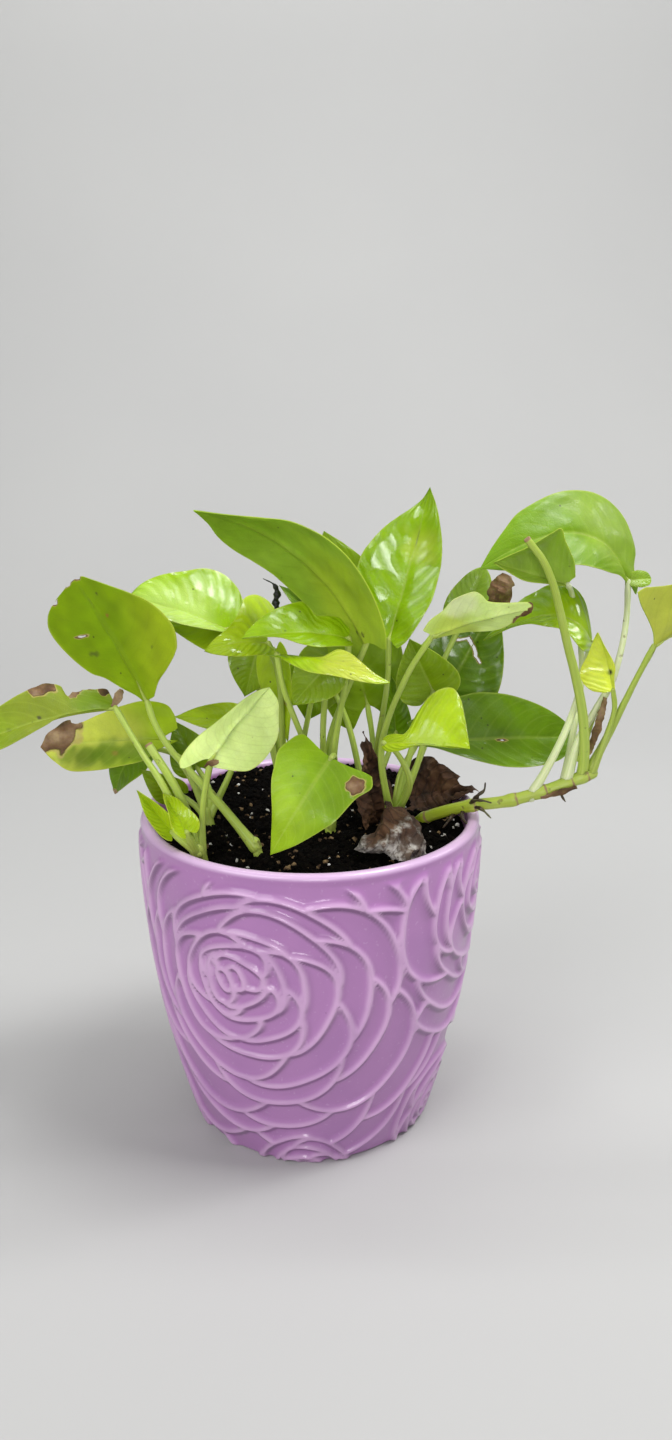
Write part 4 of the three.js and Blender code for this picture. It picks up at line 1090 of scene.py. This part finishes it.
def grow_stem(name, stem, seed, finishes):
    growth = Growth()
    nodes = stem.get("nodes", ())

    def stem_radius(along, length):
        swelling = 0
        for node in nodes or (length * 0.55,):
            swelling = swelling + 0.16 * bell((along - node) / 2.2) - 0.04 * bell(along - node - 2.6)
        return stem["radius"] * (stem.get("slim", STEM_SLIM) + swelling)

    def stub_radius(along, length):
        low, high = stem["bare"]["radii"]
        return low + (high - low) * (along / length) ** 0.8

    grow_tube(
        growth, stem.get("tone", "stalk"), stem["path"], stem_radius, sides=18, spacing=0.9,
        foot_tone=stem.get("foot_tone"), rings=nodes,
    )
    for k, leaf in enumerate(stem["leaves"].values()):
        grow_leaf(growth, leaf, seed + 20 * k)
    if "bare" in stem:
        grow_tube(
            growth, stem["bare"]["tone"], stem["bare"]["path"], stub_radius, cut=True, tip_dry=0.9,
            foot_tone="stalk", groove=0.1,
        )
    for root in stem.get("roots", ()):
        grow_tube(growth, "bark", root, root_radius, sides=8, spacing=0.6)
    for wisp in stem.get("wisps", ()):
        grow_tube(growth, "soot", wisp, wisp_radius, sides=9, spacing=0.6)
    for scrap in stem.get("scraps", ()):
        grow_scrap(growth, *scrap)
    dress(growth.piece("leafy_" + name, finishes), name)


# Finishes. Arithmetic on a shade adds the Math nodes it needs.
def math_method(operation, swapped=False):
    """A method that adds one Math node, with the shade itself first, or last where Python swaps the terms."""

    def add_math(self, *others):
        return self.math(operation, *((*others, self) if swapped else (self, *others)))

    return add_math


class Shade:
    """A value or colour that varies over a surface."""

    def __init__(self, finish, socket):
        self.finish, self.socket = finish, socket

    def math(self, operation, *terms):
        return self.finish.node("Math", {"operation": operation}, dict(enumerate(terms)))

    __add__, __radd__ = math_method("ADD"), math_method("ADD", True)
    __sub__, __rsub__ = math_method("SUBTRACT"), math_method("SUBTRACT", True)
    __mul__, __rmul__ = math_method("MULTIPLY"), math_method("MULTIPLY", True)
    __abs__ = math_method("ABSOLUTE")

    def between(self, low, high):
        """Runs softly from 0 to 1 as this value goes from low to high."""
        settings = {"interpolation_type": "SMOOTHSTEP"}
        return self.finish.node("MapRange", settings, {"Value": self, "From Min": low, "From Max": high})

    def off_whole(self):
        """How far this value is from the nearest whole number."""
        return abs(self.math("FRACT", self + 0.5) - 0.5)

    def other(self, output):
        """Another output of the node this one comes from."""
        return Shade(self.finish, self.socket.node.outputs[output])


class Finish:
    """One procedural material: the Principled shader and what feeds it."""

    def __init__(self, name, **constants):
        self.material = bpy.data.materials.new(name)
        self.material.use_nodes = True
        self.tree = self.material.node_tree
        self.skin = self.tree.nodes["Principled BSDF"]
        self.coat_with(**constants)
        self.place = self.node("TexCoord", output="Object")

    def node(self, kind, settings=None, inputs=None, output=0):
        made = add_node(self.tree, "ShaderNode" + kind, settings or {}, inputs or {})
        return Shade(self, made.outputs[output])

    def noise(self, scale, detail=2.0, place=None):
        return self.node("TexNoise", None, {"Vector": place or self.place, "Scale": scale, "Detail": detail})

    def specks(self, scale, share, size):
        """Small round dots: one in a `share` of the cells."""
        near = self.node("TexVoronoi", None, {"Vector": self.place, "Scale": scale})
        pick = self.node("SeparateColor", None, {"Color": near.other("Color")})
        return (1 - near.between(size * 0.6, size)) * (1 - pick.between(share, share + 0.01))

    def layer(self, name, output="Fac"):
        return self.node("Attribute", {"attribute_name": name}, None, output)

    def part(self, vector, axis):
        return self.node("SeparateXYZ", None, {"Vector": vector}, axis)

    def ramp(self, share, *stops):
        """Colours at positions, as (position, colour), and what lies between them."""
        shade = self.node("ValToRGB", None, {"Fac": share})
        elements = shade.socket.node.color_ramp.elements
        while len(elements) < len(stops):
            elements.new(0.5)
        for element, (position, colour) in zip(elements, stops):
            element.position, element.color = position, (*colour, 1)
        return shade

    def blend(self, share, first, second, how="MIX"):
        settings = {"data_type": "RGBA", "blend_type": how}
        return self.node("Mix", settings, {0: share, 6: first, 7: second}, 2)

    def over(self, colour, *coats):
        """Lays coats over a colour, each as (share, colour), the first one lowest."""
        for share, tint in coats:
            colour = self.blend(share, colour, tint)
        return colour

    def bump(self, height, distance, strength=1.0):
        inputs = {"Height": height, "Distance": distance, "Strength": strength}
        self.coat_with(Normal=self.node("Bump", None, inputs))

    def coat_with(self, **feeds):
        for label, value in feeds.items():
            feed(self.tree, self.skin.inputs[label.replace("_", " ")], value)
        return self.material


def lilac_glaze():
    glaze = Finish("lilac_glaze", Coat_Weight=0.35, Coat_Roughness=0.06, IOR=1.45)
    pooling = glaze.noise(55, 3)
    height = glaze.part(glaze.place, "Z")
    colour = glaze.over(
        glaze.blend(glaze.layer("raised").between(0.2, 1.0), (0.43, 0.20, 0.45), (0.61, 0.37, 0.61)),
        # Painted shade just below the ridges.
        (glaze.layer("ridge_shade").between(0.05, 0.75) * 0.85, (0.16, 0.07, 0.17)),
        (pooling.between(0.4, 0.75) * 0.3, (0.33, 0.15, 0.38)),
        (glaze.noise(700, 1).between(0.66, 0.76) * 0.25, (0.62, 0.42, 0.64)),
        (glaze.specks(160, 0.02, 0.12) * 0.7, (0.12, 0.05, 0.12)),
        (height.between(0.1195, 0.1213) * 0.7, (0.74, 0.54, 0.76)),
        # Painted shade: darker towards the foot.
        ((1 - height.between(0.0, 0.085)) * 0.28, (0.20, 0.085, 0.22)),
    )
    glaze.bump(glaze.noise(260, 2) + pooling * 3, 0.00012, 0.5)
    return glaze.coat_with(Base_Color=colour, Roughness=0.26 + 0.12 * glaze.noise(90, 2))


def damp_mix():
    mix = Finish("damp_mix", Specular_IOR_Level=0.05)
    coarse, fine = mix.noise(180, 4), mix.noise(900, 3)
    colour = mix.blend(coarse.between(0.35, 0.7), (0.001, 0.0008, 0.0006), (0.004, 0.0028, 0.002))
    colour = mix.blend(fine.between(0.62, 0.75) * 0.4, colour, (0.02, 0.012, 0.008))
    mix.bump(coarse + fine * 0.6, 0.0015)
    return mix.coat_with(Base_Color=colour, Roughness=0.75 + 0.25 * fine)


def grain(name, dark, light, rough):
    finish = Finish(name, Specular_IOR_Level=0.08)
    patch = finish.noise(420, 3)
    finish.bump(finish.noise(1800, 3), 0.0003)
    colour = finish.blend(patch.between(0.35, 0.68), dark, light)
    return finish.coat_with(Base_Color=colour, Roughness=rough + 0.1 * patch)


def dry_tissue(finish):
    """Colour and unevenness of tissue that has died: brown, blotched, with dark creases."""
    blotch = finish.noise(130, 4)
    browns = (0.3, (0.045, 0.024, 0.012)), (0.5, (0.17, 0.092, 0.046)), (0.72, (0.36, 0.25, 0.15))
    return finish.ramp(blotch, *browns), blotch + finish.noise(420, 3) * 0.5


# The two sides of a leaf: roughness, how much shine lowers it, specular level, and for the side veins and
# the midrib their tone, the tone's share and how far they stand out.
LEAF_SIDES = {
    "leaf_upper": (
        (0.4, 0.16, 0.28), ((0.50, 0.62, 0.10), 0.05, -0.07), ((0.45, 0.58, 0.10), 0.22, -0.2)
    ),
    "leaf_underside": (
        (0.5, 0.08, 0.12), ((0.16, 0.24, 0.012), 0.065, 0.12), ((0.16, 0.26, 0.02), 0.18, 0.6)
    ),
}


def leaf_skin(name):
    """One side of a leaf: glossy above, matt with raised veins below. Both turn brown where they are dry."""
    (rough, polish, specular), veins, midrib = LEAF_SIDES[name]
    (vein_tone, vein_share, vein_rise), (rib_tone, rib_share, rib_rise) = veins, midrib
    leaf = Finish(
        name, IOR=1.45, Specular_IOR_Level=specular, Subsurface_Weight=0.22, Coat_Roughness=0.08,
        Subsurface_Radius=(0.7, 1.0, 0.12), Subsurface_Scale=0.002,
    )
    where = leaf.part(leaf.layer("blade", "Vector"), "X")
    across, phase = abs(where), where.other("Z")
    vein = 1 - phase.off_whole().between(0.015, 0.13)
    faint = 1 - (phase * 2.0).off_whole().between(0.02, 0.2)
    rib = 1 - across.between(0.015, 0.075)
    netting = leaf.node("TexVoronoi", {"feature": "DISTANCE_TO_EDGE"}, {"Vector": leaf.place, "Scale": 620})
    netted = 1 - netting.between(0.0, 0.12)
    cloudy = leaf.noise(75, 3)
    dry = leaf.layer("dry") + (leaf.noise(320, 4) - 0.5) * 0.45
    dying, dead = dry.between(0.22, 0.42), dry.between(0.46, 0.56)
    alive = 1 - dead
    brown, crumple = dry_tissue(leaf)
    tone = leaf.layer("tone", "Color")
    colour = leaf.over(
        leaf.blend(cloudy.between(0.3, 0.75) * 0.30, tone, (0.72, 0.80, 0.55), "MULTIPLY"),
        (vein * vein_share, vein_tone),
        (faint * 0.02, vein_tone),
        (rib * rib_share, rib_tone),
        (netted * 0.05, (0.10, 0.18, 0.008)),
        (across.between(0.95, 1.0) * 0.35, (0.50, 0.56, 0.10)),
        (leaf.specks(420, 0.035, 0.2) * 0.75, (0.035, 0.03, 0.01)),
        (dying * alive * 0.8, (0.45, 0.36, 0.11)),
        (dead, brown),
    )
    relief = netted * -0.12 + cloudy * 0.5 + vein * vein_rise + rib * rib_rise
    shine, coat = leaf.layer("shine"), 0.1
    if name == "leaf_upper":
        # Streaks of light on the pillows between the side veins.
        pillow = (phase + leaf.noise(70, 2) * 1.1).off_whole().between(0.0, 0.5) * across.between(0.08, 0.3)
        relief = relief + pillow * (shine * 1.2 + 0.1) + leaf.noise(170, 1) * 1.5
        coat = pillow * leaf.noise(110, 3).between(0.32, 0.55) * 0.95 + 0.12
    leaf.bump(relief * alive + crumple * dead * 5, 0.00022)
    sheen = rough + 0.10 * leaf.noise(240, 2) - shine * polish
    return leaf.coat_with(
        Base_Color=colour, Roughness=sheen + (0.82 - sheen) * dead, Coat_Weight=shine * coat * alive
    )


def stalk_skin():
    stalk = Finish(
        "stalk_skin", IOR=1.45, Subsurface_Weight=0.25, Subsurface_Radius=(0.8, 1.0, 0.3),
        Subsurface_Scale=0.003,
    )
    where, tone = stalk.layer("blade", "Vector"), stalk.layer("tone", "Color")
    streaks = stalk.noise(2.6, 2, stalk.node("Mapping", None, {"Vector": where, "Scale": (1.0, 1.0, 0.09)}))
    scars = stalk.noise(260, 3).between(0.66, 0.72)
    dead = (stalk.layer("dry") + (stalk.noise(500, 2) - 0.5) * 0.3).between(0.4, 0.6)
    colour = stalk.over(
        stalk.blend(streaks.between(0.35, 0.65) * 0.4, tone, (0.62, 0.74, 0.42), "MULTIPLY"),
        (stalk.noise(90, 2).between(0.5, 0.8) * 0.3, (0.50, 0.56, 0.22)),
        (scars * 0.55, (0.14, 0.09, 0.03)),
        (dead, (0.30, 0.19, 0.10)),
    )
    stalk.bump(streaks * 1.4 - scars + stalk.noise(900, 2) * 0.5, 0.00018)
    return stalk.coat_with(Base_Color=colour, Roughness=0.32 + 0.12 * streaks + dead * 0.35)


def withered_skin(name, mouldy):
    dead = Finish(name)
    colour, crumple = dry_tissue(dead)
    vein = 1 - dead.part(dead.layer("blade", "Vector"), "Z").off_whole().between(0.02, 0.16)
    colour = dead.over(
        colour,
        (vein * 0.4, (0.03, 0.016, 0.010)),
        (dead.noise(60, 2).between(0.3, 0.6) * 0.8, (0.04, 0.022, 0.014)),
    )
    colour = dead.blend(1.0, colour, (0.55, 0.41, 0.32), "MULTIPLY")
    if mouldy:
        low = 1 - dead.part(dead.place, "Z").between(0.118, 0.131)
        patches = (dead.noise(95, 5) + low * 0.2).between(0.58, 0.72)
        threads = dead.noise(800, 3).between(0.25, 0.60)
        colour = dead.over(
            colour, (low * 0.2, (0.20, 0.165, 0.12)), (patches * threads * 0.85, (0.56, 0.53, 0.48))
        )
    dead.bump(crumple + vein * 0.5 + dead.noise(1500, 3) * 0.15, 0.0005)
    return dead.coat_with(Base_Color=colour, Roughness=0.72 + 0.2 * dead.noise(300, 2))


# The potted plant.
dress(make_pot(lilac_glaze()), "pot")

bed = make_soil(damp_mix())
STREWN = {
    "mix_crumbs": (425000.0, 0.0004, 0.0013, 0.0009, 3, grain(
        "mix_crumbs", (0.0008, 0.0006, 0.0005), (0.005, 0.0034, 0.0022), 0.9
    )),
    "mix_bark": (22000.0, 0.0005, 0.0013, 0.0008, 8, grain(
        "bark_chips", (0.05, 0.03, 0.018), (0.27, 0.18, 0.09), 0.75
    )),
    "mix_perlite": (5500.0, 0.0005, 0.0014, 0.0007, 5, grain(
        "perlite", (0.42, 0.40, 0.36), (0.78, 0.77, 0.73), 0.8
    )),
}
grains = grain_tree()
for name, measures in STREWN.items():
    inputs = dict(zip(("Density", "Smallest", "Largest", "Flatness", "Seed", "Finish"), measures))
    dress(strew(name, bed, grains, Lowest=GRAINS_ABOVE, Sinking=-GRAINS_SINK, **inputs))
dress(bed, "potting_mix")

living = [leaf_skin("leaf_upper"), leaf_skin("leaf_underside"), stalk_skin()]
for k, (name, stem) in enumerate(STEMS.items()):
    grow_stem(name, stem, 1000 * (k + 1), living)

brown, mouldy = withered_skin("withered_brown_skin", False), withered_skin("withered_mouldy_skin", True)
for k, (name, leaf) in enumerate(WITHERED.items()):
    growth = Growth()
    grow_blade(growth, dict(leaf, **WITHERED_FORM), 9000 + 30 * k)
    skin = mouldy if name == "withered_grey" else brown
    dress(growth.piece("dead_" + name, [skin, skin]), name)

# Floor, light and camera. The floor is a sheet that sweeps up behind.
FLOOR_NEAR, FLOOR_FAR, SWEEP, BACKDROP, FLOOR_SIDE = -3000, 500, 700, 3500, 4000
paper = Finish("studio_floor")
tint = paper.blend(paper.noise(3, 2), (0.46, 0.46, 0.455), (0.50, 0.50, 0.49))
bend = np.linspace(0, math.pi / 2, 24)
profile = [(FLOOR_NEAR, 0), *zip(FLOOR_FAR + SWEEP * np.sin(bend), SWEEP - SWEEP * np.cos(bend))]
profile += [(FLOOR_FAR + SWEEP, BACKDROP)]
floor = make_piece(
    "studio_floor", [(x, y, z) for y, z in profile for x in (-FLOOR_SIDE, FLOOR_SIDE)],
    [[k, k + 1, k + 3, k + 2] for k in range(0, 2 * len(profile) - 2, 2)],
    [paper.coat_with(Base_Color=tint, Roughness=0.75 + 0.1 * paper.noise(40, 2))],
)

scene = bpy.context.scene
scene.world = bpy.data.worlds.new("studio")
scene.world.use_nodes = True
air = scene.world.node_tree.nodes["Background"].inputs
air["Color"].default_value, air["Strength"].default_value = (0.80, 0.81, 0.82, 1), 0.3

# Soft lights: where each is, what it points at, its size and its power.
for name, place, aim, size, power in (
    ("ceiling_panel", (0.45, -0.1, 1.05), (0, 0, 0.15), (0.4, 0.4), 7.5),
    ("right_panel", (1.1, 0.25, 0.8), (0, 0, 0.18), (0.25, 0.4), 3),
    ("front_window", (-0.75, -0.9, 0.95), (0, 0, 0.12), (0.9, 0.8), 9),
    ("low_window", (0.1, -1.7, 0.5), (0, 0, 0.15), (0.5, 0.45), 8),
    ("backdrop_wash", (0, 0.35, 1.5), (0, 1.2, 0.7), (1.6, 0.3), 12),
):
    lamp = bpy.data.lights.new(name, "AREA")
    lamp.shape, lamp.size, lamp.size_y, lamp.energy = "RECTANGLE", *size, power
    light = bpy.data.objects.new(name, lamp)
    light.location = place
    x, y, z = np.subtract(aim, place)
    light.rotation_euler = (math.atan2(math.hypot(x, y), -z), 0, math.atan2(-x, y))
    scene.collection.objects.link(light)

CAMERA_PITCH = 16  # degrees down
camera = bpy.data.objects.new("camera", bpy.data.cameras.new("camera"))
camera.data.lens, camera.data.sensor_width = 27.5, 36
camera.location = (0.0096, -0.3905, 0.2683)
camera.rotation_euler = (math.radians(90 - CAMERA_PITCH), 0, 0)
scene.collection.objects.link(camera)
bpy.context.scene.camera = camera
scene.view_settings.view_transform = "Standard"
